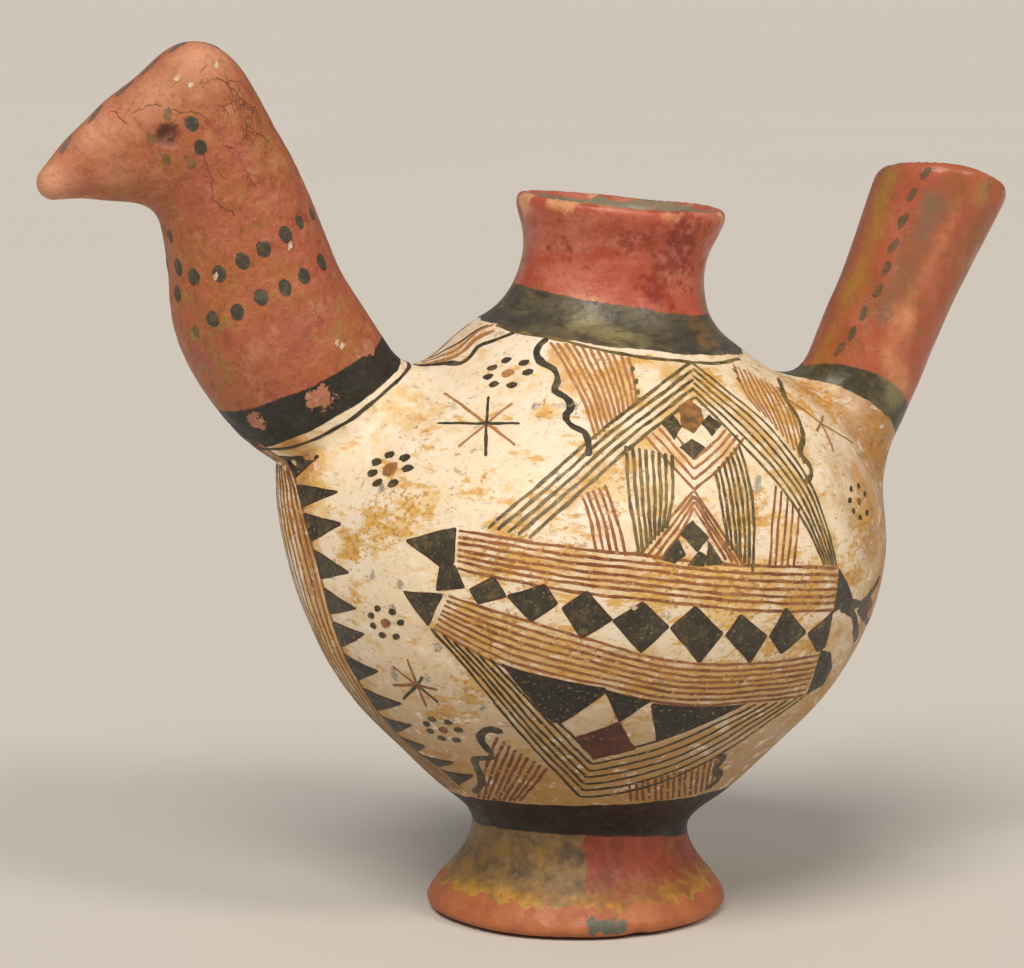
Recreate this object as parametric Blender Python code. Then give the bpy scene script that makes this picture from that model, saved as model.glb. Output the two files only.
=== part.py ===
"""A hand-built earthenware pouring vessel in the shape of a bird, as one hollow solid.

The bird looks along -X and its tail spout leans towards +X. +Z is up, and the origin is on the
surface that the vessel stands on, in the middle of its length and width.
"""

from math import cos, pi, radians, sin

import bmesh
import bpy
import numpy as np
from mathutils import Vector

MM = 0.001  # the sizes below are in millimetres, and the meshes are in metres

# The places below are measured from the centre of the foot's resting ring, which stands here:
FOOT_PLACE = Vector((12.42, 0.0, 0.0))

WALL = 6.5  # thickness of the coiled clay wall
BODY_SIDES = 44  # facets around the body, the foot and the mouth
LIMB_SIDES = 34  # facets around the neck, the head and the tail

# The body is a globe about BODY_CENTRE: (angle above its equator in degrees, radius).
BODY_CENTRE = Vector((4.5, 0.0, 104.0))
BODY_GLOBE = [
    (-60, 80),
    (-45, 77.5),
    (-30, 79),
    (-15, 81.5),
    (0, 84),
    (15, 82.5),
    (30, 77),
    (45, 70.5),
    (65, 65),
    (90, 62),
]
BODY_DEPTH = 0.90  # the globe is narrower from side to side
BODY_RINGS = 17

# The foot is a flared pedestal, hollow below: (height, radius) of its outer face.
FOOT_FLARE = [(0, 40.2), (2.4, 42), (6.5, 40.6), (12, 35.9), (18, 31.9), (24, 30.5), (31, 32.6)]
FOOT_RINGS = 9
FOOT_HOLLOW = [(-2, 32.5), (0, 31.5), (8, 26.5), (16, 20), (20, 12), (21, 1)]
FOOT_HOLLOW_RINGS = 7

# The mouth is a short flared collar that leans with its rim: (distance along it, radius).
MOUTH_BASE = Vector((8.5, 0.0, 150.0))
MOUTH_RIM = Vector((13.5, 0.0, 198.3))
MOUTH_FLARE = [(2, 41), (13, 34.5), (20, 29.6), (28, 26.5), (35, 25.8), (42, 27), (46, 28.6)]
MOUTH_RINGS = 9

# The tail is a slanting spout with an open end: (distance along it, radius).
TAIL_BASE = Vector((69.0, 0.0, 119.2))
TAIL_END = Vector((107.8, 0.0, 205.7))
TAIL_FLARE = [(0, 12), (12, 16.5), (23, 19.4), (35, 17.9), (47, 16.6), (58, 16.5), (76, 17.2), (91, 18)]
TAIL_RINGS = 11
TAIL_SLOPE = radians(9)  # the rim of the spout slopes down towards +X

LIP_ROUNDS = (20, 50, 80)  # degrees at which a lip's rounding has a ring
LIP_RADIUS = 3.2

# Sections of the neck and head, from inside the breast to the beak:
# (x and z under the throat, x and z at the nape or crest, half of the depth along Y).
BIRD_SECTIONS = [
    (-76, 93, -40, 122, 16),
    (-85, 113, -42, 143, 21),
    (-89, 130, -47.5, 158, 23),
    (-98, 146, -56.5, 167.5, 23),
    (-109, 160, -64.5, 181, 23),
    (-113.5, 176, -72, 196.5, 21.5),
    (-114.5, 190, -80, 212, 19.5),
    (-116.6, 197.5, -89, 230, 18.6),
    (-121, 201.4, -105, 245.6, 17.6),
    (-128, 203.6, -122, 238, 13.5),
    (-137, 204.6, -133.5, 227.6, 9.2),
    (-145, 205.2, -144, 217, 5),
    (-148.8, 207, -148.6, 211, 2.4),
]
BEAK_TIP = Vector((-149.9, 0.0, 208.8))
BIRD_RINGS = 25
NECK_HOLLOW_SECTIONS = 7  # how many of the sections the hollow runs through, below the solid head
NECK_HOLLOW_RINGS = 13


def clear_scene():
    """Removes whatever the scene holds."""
    for thing in list(bpy.data.objects):
        bpy.data.objects.remove(thing, do_unlink=True)


def smooth_between(stations, count):
    """Rows of numbers at even steps along a smooth curve that passes through the stations."""
    rows = np.array(stations, dtype=float)
    steps = np.linalg.norm(np.diff(rows, axis=0), axis=1)
    knots = np.concatenate(([0.0], np.cumsum(steps)))
    slopes = np.gradient(rows, knots, axis=0)
    places = np.linspace(0, knots[-1], count)
    start = np.clip(np.searchsorted(knots, places) - 1, 0, len(steps) - 1)
    span = steps[start][:, None]
    part = (places[:, None] - knots[start][:, None]) / span
    ease = part**2 * (3 - 2 * part)
    leave = part * (1 - part) ** 2 * span
    arrive = part**2 * (part - 1) * span
    passed = rows[start] * (1 - ease) + rows[start + 1] * ease
    return (passed + slopes[start] * leave + slopes[start + 1] * arrive).tolist()


def ring(centre, across, depth, sides):
    """Points of an ellipse: `across` is its half-axis in the XZ plane, `depth` its half-axis along Y."""
    points = []
    for step in range(sides):
        turn = 2 * pi * step / sides
        points.append(centre + across * cos(turn) + Vector((0, depth * sin(turn), 0)))
    return points


def loft(name, rings, first_pole=None, last_pole=None):
    """One closed body through the rings, each end closed by a flat face or drawn to its pole."""
    shape = bmesh.new()
    loops = [[shape.verts.new((point + FOOT_PLACE) * MM) for point in points] for points in rings]
    sides = len(loops[0])
    for lower, upper in zip(loops, loops[1:]):
        for step in range(sides):
            following = (step + 1) % sides
            shape.faces.new((lower[step], lower[following], upper[following], upper[step]))
    for loop, pole in ((loops[0], first_pole), (loops[-1], last_pole)):
        if pole is None:
            shape.faces.new(loop)
            continue
        tip = shape.verts.new((pole + FOOT_PLACE) * MM)
        for step in range(sides):
            shape.faces.new((loop[step], loop[(step + 1) % sides], tip))
    bmesh.ops.recalc_face_normals(shape, faces=shape.faces)
    mesh = bpy.data.meshes.new(name)
    shape.to_mesh(mesh)
    shape.free()
    made = bpy.data.objects.new(name, mesh)
    bpy.context.scene.collection.objects.link(made)
    return made


def helper(made):
    """Keeps a shape that only joins or cuts the vessel out of the finished model."""
    made.hide_render = True
    made.display_type = "WIRE"
    return made


def globe_and_foot():
    """The body's globe standing on its flared foot."""
    rings = []
    for height, radius in smooth_between(FOOT_FLARE, FOOT_RINGS):
        rings.append(ring(Vector((0, 0, height)), Vector((radius, 0, 0)), radius, BODY_SIDES))
    for angle, radius in smooth_between(BODY_GLOBE, BODY_RINGS)[:-1]:
        out = radius * cos(radians(angle))
        centre = BODY_CENTRE + Vector((0, 0, radius * sin(radians(angle))))
        rings.append(ring(centre, Vector((out, 0, 0)), out * BODY_DEPTH, BODY_SIDES))
    crown = BODY_CENTRE + Vector((0, 0, BODY_GLOBE[-1][1]))
    return loft("bird_vessel", rings, last_pole=crown)


def globe_hollow():
    """The space inside the body, one wall's thickness within it."""
    rings = []
    floor_radius = BODY_GLOBE[0][1]
    floor = BODY_CENTRE - Vector((0, 0, floor_radius - WALL))
    stations = [(-88, floor_radius), *BODY_GLOBE]
    for angle, radius in smooth_between(stations, BODY_RINGS)[:-1]:
        reach = radius - WALL
        out = reach * cos(radians(angle))
        centre = BODY_CENTRE + Vector((0, 0, reach * sin(radians(angle))))
        depth = out * (BODY_DEPTH * BODY_CENTRE.z - WALL) / (BODY_CENTRE.z - WALL)
        rings.append(ring(centre, Vector((out, 0, 0)), depth, LIMB_SIDES))
    crown = BODY_CENTRE + Vector((0, 0, BODY_GLOBE[-1][1] - WALL))
    return helper(loft("globe_hollow", rings, first_pole=floor, last_pole=crown))


def foot_hollow():
    """The space under the foot, as a blunt cone that leaves the resting ring."""
    rings = []
    for height, radius in smooth_between(FOOT_HOLLOW, FOOT_HOLLOW_RINGS):
        rings.append(ring(Vector((0, 0, height)), Vector((radius, 0, 0)), radius, LIMB_SIDES))
    return helper(loft("foot_hollow", rings))


def spout(name, base, end, flare, count, slope, sides, inset=0.0):
    """A flared tube from `base` to a rounded lip at `end`, whose plane slopes down towards +X.

    With an inset it is the space inside that tube, which flares at the rounded lip to meet the air.
    """
    axis = (end - base).normalized()
    across = Vector((axis.z, 0, -axis.x))
    rim_across = Vector((cos(slope), 0, -sin(slope)))
    rim_up = Vector((sin(slope), 0, cos(slope)))
    length = (end - base).length
    rings = []
    for along, radius in smooth_between(flare, count):
        share = (along / length) ** 4
        tilted = across.lerp(rim_across, share).normalized()
        reach = radius - inset
        rings.append(ring(base + axis * (along - LIP_RADIUS * share), tilted * reach, reach, sides))
    rim_reach = flare[-1][1] - inset
    rounding = LIP_RADIUS if inset else -LIP_RADIUS
    for angle in LIP_ROUNDS:
        turn = radians(angle)
        reach = rim_reach + rounding * (1 - cos(turn))
        centre = end + rim_up * LIP_RADIUS * (sin(turn) - 1)
        rings.append(ring(centre, rim_across * reach, reach, sides))
    if inset:
        reach = rim_reach + LIP_RADIUS
        rings.append(ring(end + rim_up * LIP_RADIUS, rim_across * reach, reach, sides))
    return helper(loft(name, rings))


def neck_and_head():
    """The neck and the closed head, lofted through sections that fan round at the throat."""
    rings = []
    for throat_x, throat_z, nape_x, nape_z, depth in smooth_between(BIRD_SECTIONS, BIRD_RINGS):
        throat = Vector((throat_x, 0, throat_z))
        nape = Vector((nape_x, 0, nape_z))
        rings.append(ring((throat + nape) / 2, (nape - throat) / 2, depth, LIMB_SIDES))
    return helper(loft("neck_and_head", rings, last_pole=BEAK_TIP))


def neck_hollow():
    """The space inside the neck, one wall's thickness within it, closed below the head."""
    rings = []
    for section in smooth_between(BIRD_SECTIONS[:NECK_HOLLOW_SECTIONS], NECK_HOLLOW_RINGS):
        throat_x, throat_z, nape_x, nape_z, depth = section
        throat = Vector((throat_x, 0, throat_z))
        nape = Vector((nape_x, 0, nape_z))
        half = (nape - throat) / 2
        inner = half * (half.length - WALL) / half.length
        rings.append(ring((throat + nape) / 2, inner, depth - WALL, LIMB_SIDES - 8))
    return helper(loft("neck_hollow", rings))


def combine(target, other, operation):
    """Joins `other` to `target`, or cuts it away, by a Boolean modifier."""
    step = target.modifiers.new(f"{operation.lower()} {other.name}", "BOOLEAN")
    step.operation = operation
    step.object = other
    step.solver = "EXACT"


def earthenware():
    """Red-slipped low-fired clay with a dull burnish."""
    material = bpy.data.materials.new("slipped earthenware")
    material.use_nodes = True
    surface = material.node_tree.nodes["Principled BSDF"]
    surface.inputs["Base Color"].default_value = (0.55, 0.30, 0.15, 1)
    surface.inputs["Roughness"].default_value = 0.5
    surface.inputs["Metallic"].default_value = 0.0
    return material


def bird_vessel():
    """The whole vessel: body, foot, mouth, neck with head, and tail, hollow throughout."""
    mouth_slope = (MOUTH_RIM - MOUTH_BASE).angle(Vector((0, 0, 1)))
    mouth = (MOUTH_BASE, MOUTH_RIM, MOUTH_FLARE, MOUTH_RINGS, mouth_slope, BODY_SIDES - 4)
    tail = (TAIL_BASE, TAIL_END, TAIL_FLARE, TAIL_RINGS, TAIL_SLOPE, LIMB_SIDES)
    vessel = globe_and_foot()
    combine(vessel, spout("mouth", *mouth), "UNION")
    combine(vessel, neck_and_head(), "UNION")
    combine(vessel, spout("tail", *tail), "UNION")
    combine(vessel, globe_hollow(), "DIFFERENCE")
    combine(vessel, spout("mouth_bore", *mouth, WALL), "DIFFERENCE")
    combine(vessel, neck_hollow(), "DIFFERENCE")
    combine(vessel, spout("tail_bore", *tail, WALL), "DIFFERENCE")
    combine(vessel, foot_hollow(), "DIFFERENCE")
    vessel.data.materials.append(earthenware())
    vessel.data.shade_smooth()
    vessel.data.set_sharp_from_angle(angle=radians(40))
    return vessel


clear_scene()
bird_vessel()
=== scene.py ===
"""A hand-built, slip-painted earthenware pouring vessel in the shape of a bird.

The CAD solid gives the vessel its place and size. The vessel's skin is worked out here as the zero
level of a smooth sum of distances, because fingers smoothed the joins between globe, collar, neck,
tail and foot into one another, and no single grid of two parameters follows such a skin. Every
painted mark is a thin sheet of slip that is worked out in two parameters and laid on that skin.

Places are in millimetres from the centre of the foot's resting ring: the head looks along -X, the
tail leans towards +X, and +Z is up. A place on the skin is also given as (turn, height): degrees
round the globe's upright axis, from the near flank (-Y) towards the tail, and the height.
"""

from math import cos, pi, radians, sin

import bpy
import numpy as np
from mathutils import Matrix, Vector


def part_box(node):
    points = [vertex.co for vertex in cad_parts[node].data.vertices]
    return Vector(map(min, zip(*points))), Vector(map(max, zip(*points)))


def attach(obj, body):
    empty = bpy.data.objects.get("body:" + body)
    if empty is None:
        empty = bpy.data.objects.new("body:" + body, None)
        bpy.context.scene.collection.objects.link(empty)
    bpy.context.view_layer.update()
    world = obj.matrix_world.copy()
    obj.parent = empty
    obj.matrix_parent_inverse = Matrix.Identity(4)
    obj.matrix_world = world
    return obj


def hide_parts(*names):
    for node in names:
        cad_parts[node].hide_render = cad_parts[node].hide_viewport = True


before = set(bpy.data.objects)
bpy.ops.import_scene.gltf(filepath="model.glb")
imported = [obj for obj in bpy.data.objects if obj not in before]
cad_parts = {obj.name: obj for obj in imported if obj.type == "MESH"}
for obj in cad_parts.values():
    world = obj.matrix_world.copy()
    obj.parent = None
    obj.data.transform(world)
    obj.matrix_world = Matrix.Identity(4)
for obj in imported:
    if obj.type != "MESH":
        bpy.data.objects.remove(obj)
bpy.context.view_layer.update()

# ---------------------------------------------------------------------------------------------
# The clay body. A coiled globe on a flared foot carries a collar mouth, a neck with a solid beaked
# head, and a tail spout. They were joined while the clay was soft, and the joins smoothed over.

# The vessel's height, and how far the foot's centre lies from the beak's tip, set the scale and the
# origin of all the sizes here.
HEIGHT, BEAK_TO_FOOT = 245.68, 149.9
low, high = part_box("bird_vessel")
MM = (high.z - low.z) / HEIGHT
FOOT = np.array([low.x + BEAK_TO_FOOT * MM, 0.0, low.z])
WALL = 6.5

GLOBE_CENTRE = np.array([4.2, 0.0, 104.0])
GLOBE_DEPTH = 0.90
# (angle above the globe's equator, radius)
GLOBE = [
    (-90, 82), (-66, 81), (-45, 77.8), (-30, 79.5), (-15, 82), (0, 84.4), (15, 82.5), (30, 77),
    (45, 70.5), (65, 65), (90, 62),
]  # fmt: skip
# (height, radius) of the foot's outside, and of the hollow below it. The foot leans a little, and
# ends inside the globe.
FOOT_LEAN = 0.07
FOOT_FLARE = [(0, 41), (3, 42.2), (7, 40.2), (12, 35.9), (18, 31.9), (24, 30.5), (31, 31.9), (36, 34)]
FOOT_HOLLOW = [(-4, 34), (0, 31.5), (8, 26.5), (16, 20), (24, 14)]
FOOT_HOLLOW_TOP, FOOT_TOP = 21, 44
# (distance along the axis from its base, radius) of the collar and of the tail
COLLAR_BASE, COLLAR_RIM = np.array([7.0, 0, 150.0]), np.array([13.3, 0, 201.4])
COLLAR = [
    (0, 46), (12, 38.3), (17.5, 32), (23, 28.2), (29, 26.2), (35, 25.6), (40, 26.4), (45, 28.3),
    (51.5, 30.6),
]  # fmt: skip
TAIL_BASE, TAIL_RIM = np.array([71.0, 0, 119.2]), np.array([108.2, 0, 205.8])
TAIL = [(0, 12), (12, 14), (23, 15.6), (35, 16.4), (47, 16.4), (58, 16.3), (76, 17.1), (93, 18.3)]
# The way that each rim faces: down towards +X, and a little towards the far flank.
COLLAR_RIM_FACES, TAIL_RIM_FACES = (0.096, 0.013, 0.995), (0.25, 0.25, 0.935)
# (x, z, radius) along the middle of the neck, of which the head's part is solid, then along the head
# to the beak's tip, and of the ball that rounds the crown. All are a little narrower than high.
NECK = [
    (-53, 108, 23.5), (-60, 122.5, 24.3), (-65.6, 141, 21.1), (-79.8, 157.5, 24.7), (-88.9, 173, 24.4),
    (-92.3, 186, 22.4), (-96, 199, 20.8), (-101, 212, 19.2), (-107.4, 222.7, 16.3),
]  # fmt: skip
NECK_HOLLOW_STATIONS = 7
BEAK = [(-107, 225, 17.4), (-117, 220, 17.0), (-128, 216, 12.7), (-138, 212.6, 8.1), (-145.3, 209, 4.7)]
CROWN = (-106.8, 233.9, 12.2)
NECK_FLAT, BEAK_FLAT, CROWN_FLAT = 0.93, 0.88, 0.9
# Each eye is a dimple, pressed in with the end of a stick.
EYE, EYE_RADIUS = np.array([-117.0, 17.6, 222.3]), 3.9
# How far (mm) the smoothing of each join reaches, outside and inside
JOINS = {"crown": 5, "head": 7, "collar": 9, "neck": 12, "tail": 13, "foot": 5}
INNER_JOINS = {"collar": 9, "neck": 13, "tail": 10}
ROUND_LIP = 5
# (x, y, z, radius, depth) of chips out of the foot's edge and the lips
CHIPS = [
    (8, -41.5, 0, 5, 0.9), (-22, -37, 4, 3, 0.7), (30, 30, 2, 8, 1.5), (38, -17, 200, 4, 0.8),
    (-14, 14, 202, 5, 1), (117, -15, 203, 4, 1.3), (96, 14, 208, 4, 1),
]  # fmt: skip


def through(stations, places):
    """Values on a smooth curve through (place, value, ...) stations: in each span, the cubic whose
    slope at each of its two stations is that of the stations round it."""
    rows = np.array(stations, dtype=float)
    knots, values = rows[:, 0], rows[:, 1:]
    slopes = np.gradient(values, knots, axis=0)
    places = np.clip(places, knots[0], knots[-1])
    start = np.clip(np.searchsorted(knots, places) - 1, 0, len(knots) - 2)
    span = (knots[start + 1] - knots[start])[..., None]
    part = (places - knots[start])[..., None] / span
    ease = part**2 * (3 - 2 * part)
    leave, arrive = part * (1 - part) ** 2 * span, part**2 * (part - 1) * span
    passed = values[start] * (1 - ease) + values[start + 1] * ease
    return passed + slopes[start] * leave + slopes[start + 1] * arrive


def join(one, other, reach):
    """The lesser of two distances. Where they differ by less than `reach`, a quarter of the reach
    times the square of their closeness is taken off, which fills the crease between the shapes."""
    near = np.maximum(reach - np.abs(one - other), 0) / reach
    return np.minimum(one, other) - near**2 * reach / 4


def keep(one, other, reach):
    """The greater of two distances, which is what lies inside both shapes, with the edge between them
    rounded over `reach` in the same way."""
    return -join(-one, -other, reach)


def globe(points):
    """Distance out from the globe, a ball whose radius changes with the angle above its equator."""
    off = points - GLOBE_CENTRE
    out = np.hypot(off[:, 0], off[:, 1] / GLOBE_DEPTH)
    angle = np.degrees(np.arctan2(off[:, 2], out))
    return np.hypot(out, off[:, 2]) - through(GLOBE, angle)[:, 0]


def tube(points, base, rim, radii):
    """Distance out from a straight bar of changing radius, cut just short of its base."""
    axis = (rim - base) / np.linalg.norm(rim - base)
    off = points - base
    along = off @ axis
    out = np.linalg.norm(off - along[:, None] * axis, axis=1)
    return keep(out - through(radii, along)[:, 0], -along - 3, 9)


def above(points, rim, faces):
    """How far points lie above the plane of a rim, which faces this way."""
    return (points - rim) @ (np.array(faces) / np.linalg.norm(faces))


def rod(points, path, flat):
    """Distance out from a bar of changing radius along a bent path in the middle plane: the least of
    the distances from its short cones. The bar is `flat` times as deep as it is high."""
    rows = np.array(path, dtype=float)
    lengths = np.concatenate(([0], np.cumsum(np.hypot(*np.diff(rows[:, :2], axis=0).T))))
    line = through(np.column_stack((lengths, rows)), np.linspace(0, lengths[-1], 4 * len(rows)))
    x, y, z = points[:, 0], points[:, 1] / flat, points[:, 2]
    nearest = np.full(len(points), np.inf)
    for (x0, z0, r0), (x1, z1, r1) in zip(line[:-1], line[1:]):
        dx, dz = x1 - x0, z1 - z0
        part = np.clip(((x - x0) * dx + (z - z0) * dz) / (dx**2 + dz**2), 0, 1)
        away = np.sqrt((x - x0 - part * dx) ** 2 + y**2 + (z - z0 - part * dz) ** 2)
        nearest = np.minimum(nearest, away - r0 - part * (r1 - r0))
    return nearest


def waves(points, seed, wavelengths, height):
    """The gentle unevenness that hands leave: a sum of sine waves in seeded directions."""
    random = np.random.default_rng(seed)
    swell = np.zeros(len(points))
    for wavelength in wavelengths:
        way = random.normal(size=3)
        way *= 2 * pi / wavelength / np.linalg.norm(way)
        swell += np.sin(points @ way + random.uniform(0, 2 * pi))
    return swell * height / np.sqrt(len(wavelengths))


def skin(points):
    """Distance out from the outer surface of the clay, as though the vessel were solid: the globe
    joined to its limbs, made uneven, cut flat at the foot, with its eyes and chips taken out."""
    collar = tube(points, COLLAR_BASE, COLLAR_RIM, COLLAR)
    collar = keep(collar, above(points, COLLAR_RIM, COLLAR_RIM_FACES), ROUND_LIP)
    tail = tube(points, TAIL_BASE, TAIL_RIM, TAIL)
    tail = keep(tail, above(points, TAIL_RIM, TAIL_RIM_FACES), ROUND_LIP)
    foot = np.hypot(points[:, 0] - FOOT_LEAN * points[:, 2], points[:, 1])
    foot = foot - through(FOOT_FLARE, points[:, 2])[:, 0]
    foot = keep(keep(foot, -points[:, 2], 2.5), points[:, 2] - FOOT_TOP, 8)
    x, z, radius = CROWN
    crown = (points[:, 0] - x) ** 2 + (points[:, 1] / CROWN_FLAT) ** 2 + (points[:, 2] - z) ** 2
    head = join(rod(points, BEAK, BEAK_FLAT), np.sqrt(crown) - radius, JOINS["crown"])
    neck = join(rod(points, NECK, NECK_FLAT), head, JOINS["head"])
    whole = join(globe(points), collar, JOINS["collar"])
    whole = join(whole, neck, JOINS["neck"])
    whole = join(whole, tail, JOINS["tail"])
    whole = join(whole, foot, JOINS["foot"])
    whole = whole + waves(points, 3, (34, 41, 47, 55, 62), 0.28) + waves(points, 8, (11, 14, 17, 21), 0.05)
    whole = keep(whole, -points[:, 2], 2)
    either_side = np.column_stack((points[:, 0], np.abs(points[:, 1]), points[:, 2]))
    whole = keep(whole, EYE_RADIUS - np.linalg.norm(either_side - EYE, axis=1), 0.8)
    for *place, radius, depth in CHIPS:
        away = np.linalg.norm(points - place, axis=1) / radius
        whole = whole + depth * np.clip(1.3 - 1.3 * away, 0, 1)
    return whole


def hollow(points):
    """Distance out from the space inside the vessel: the same joined shapes, moved in by the wall."""
    space = join(globe(points), tube(points, COLLAR_BASE, COLLAR_RIM, COLLAR), INNER_JOINS["collar"])
    space = join(space, rod(points, NECK[:NECK_HOLLOW_STATIONS], NECK_FLAT), INNER_JOINS["neck"])
    space = join(space, tube(points, TAIL_BASE, TAIL_RIM, TAIL), INNER_JOINS["tail"])
    return space + WALL + waves(points, 5, (30, 38, 47), 0.35)


def clay(points):
    """Distance out from the clay: the skin less the hollow of the vessel and that of the foot."""
    foot_hollow = np.hypot(points[:, 0], points[:, 1]) - through(FOOT_HOLLOW, points[:, 2])[:, 0]
    foot_hollow = keep(foot_hollow, points[:, 2] - FOOT_HOLLOW_TOP, 5)
    return keep(keep(skin(points), -hollow(points), 5), -foot_hollow, 3)


def facing(field, points, step=0.05):
    """The field's values at the points, and its gradients, from its rise over a small step each way."""
    here = field(points)
    slopes = [(field(points + step * axis) - here) / step for axis in np.eye(3)]
    return here, np.stack(slopes, axis=-1)


def settle(field, points, lift=0.0, rounds=3):
    """Moves points until they lie `lift` off a field's surface: each round, along the gradient by the
    distance that is left over the slope."""
    for _ in range(rounds):
        here, slope = facing(field, points)
        points = points - ((here - lift) / np.sum(slope**2, axis=1))[:, None] * slope
    return points


def net(field, xs, ys, zs, reach=9.0):
    """Points and quads of a field's zero level: a point in each grid cell that it crosses, at the
    mean of its crossings of the cell's edges, and a quad round each grid edge that it crosses. Nodes
    further than `reach` from it keep the value of the nearest node of a grid four times as coarse."""
    grid = np.stack(np.meshgrid(xs, ys, zs, indexing="ij"), axis=-1)
    blocks = [np.minimum((np.arange(len(line)) + 2) // 4, (len(line) - 1) // 4) for line in (xs, ys, zs)]
    coarse = grid[::4, ::4, ::4]
    coarse_values = field(coarse.reshape(-1, 3)).reshape(coarse.shape[:3])
    values = coarse_values[np.ix_(*blocks)]
    near = np.abs(values) < reach
    values[near] = field(grid[near])
    solid = values < 0
    cells = [slice(0, -1), slice(1, None)]
    corners = [(a, b, c) for a in (0, 1) for b in (0, 1) for c in (0, 1)]
    solid_corners = sum(solid[cells[a], cells[b], cells[c]].astype(int) for a, b, c in corners)
    crossed = (solid_corners > 0) & (solid_corners < 8)
    number = np.cumsum(crossed).reshape(crossed.shape) - 1
    place = np.argwhere(crossed)
    crossings, count = np.zeros((len(place), 3)), np.zeros((len(place), 1))
    for corner in corners:
        for axis in (k for k in range(3) if corner[k] == 0):
            one, two = place + corner, place + corner
            two = two + np.eye(3, dtype=int)[axis]
            first, second = values[tuple(one.T)], values[tuple(two.T)]
            passes = (first < 0) != (second < 0)
            part = np.where(passes, first / np.where(passes, first - second, 1), 0)[:, None]
            here, there = grid[tuple(one.T)], grid[tuple(two.T)]
            crossings += (here + (there - here) * part) * passes[:, None]
            count += passes[:, None]
    quads = []
    for axis in range(3):
        inner = [slice(1, -1)] * 3
        inner[axis] = slice(0, -1)
        beyond = list(inner)
        beyond[axis] = slice(1, None)
        inner, beyond = solid[tuple(inner)], solid[tuple(beyond)]
        edges = np.argwhere(inner != beyond)
        outward = inner[tuple(edges.T)]
        edges = edges + 1 - np.eye(3, dtype=int)[axis]
        side, other = np.eye(3, dtype=int)[(axis + 1) % 3], np.eye(3, dtype=int)[(axis + 2) % 3]
        ring = [edges - side - other, edges - other, edges, edges - side]
        ring = np.stack([number[tuple(cell.T)] for cell in ring], axis=1)
        ring[~outward] = ring[~outward][:, ::-1]
        quads.append(ring)
    return crossings / count, np.vstack(quads)


def steps(*stops):
    """Places along one axis: from the first stop on, with each stop's spacing up to the next."""
    places = []
    for (start, spacing), (end, _) in zip(stops[:-1], stops[1:]):
        places.append(np.linspace(start, end, round((end - start) / spacing), endpoint=False))
    return np.concatenate(places)


# The grid is finer at the head, near the middle plane and above the globe, where the skin bends most.
body_points, body_quads = net(
    clay,
    steps((-156, 1.15), (-84, 1.9), (130, 0)),
    steps((-82, 2.0), (-30, 1.45), (30, 2.0), (82, 0)),
    steps((-4, 2.0), (150, 1.4), (252, 0)),
)
body_points = settle(clay, body_points)

# The slip's zones end at planes: (normal, distance) of a band's edge towards the belly and of its
# edge towards the limb's end. The far side mirrors the near side, where Y is negative.
BANDS = {
    "neck": (((-0.491, -0.043, 0.87), 163.1), ((-0.401, -0.035, 0.915), 174.2)),
    "collar": (((0.129, -0.02, 0.991), 163.7), ((0.168, 0, 0.986), 173.1)),
    "tail": (((0.488, 0.398, 0.777), 145.2), ((0.414, 0.452, 0.79), 147.1)),
    "foot": (((0.0, -0.058, -0.998), -35.9), ((-0.09, -0.14, -0.985), -22.4)),
}


def unit(vectors):
    """The vectors, each divided by its length."""
    return vectors / np.linalg.norm(vectors, axis=-1, keepdims=True)


def seen_from(centres, outward, reach=150.0):
    """Where lines that run in towards the centres against `outward` first meet the skin, reached in
    steps of nine tenths of the distance that is left."""
    points = centres + outward * reach
    for _ in range(30):
        points = points - outward * (skin(points) * 0.9)[:, None]
    return points


def on_skin(stops):
    """Points on the skin, for places given as (turn, height) or roughly as (x, y, z)."""
    stops = np.asarray(stops, dtype=float)
    if stops.shape[-1] == 3:
        return settle(skin, stops)
    turns, heights = np.radians(stops[:, 0]), stops[:, 1]
    outward = np.column_stack((np.sin(turns), -np.cos(turns), np.zeros(len(stops))))
    centres = np.column_stack((np.full(len(stops), GLOBE_CENTRE[0]), np.zeros(len(stops)), heights))
    return seen_from(centres, outward)


def row(first, last, count, radius, strength):
    """Blots evenly spaced in a straight row from one place to another."""
    ways = np.linspace(0, 1, count)
    return [(tuple(np.add(first, way * np.subtract(last, first))), radius, strength) for way in ways]


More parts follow.
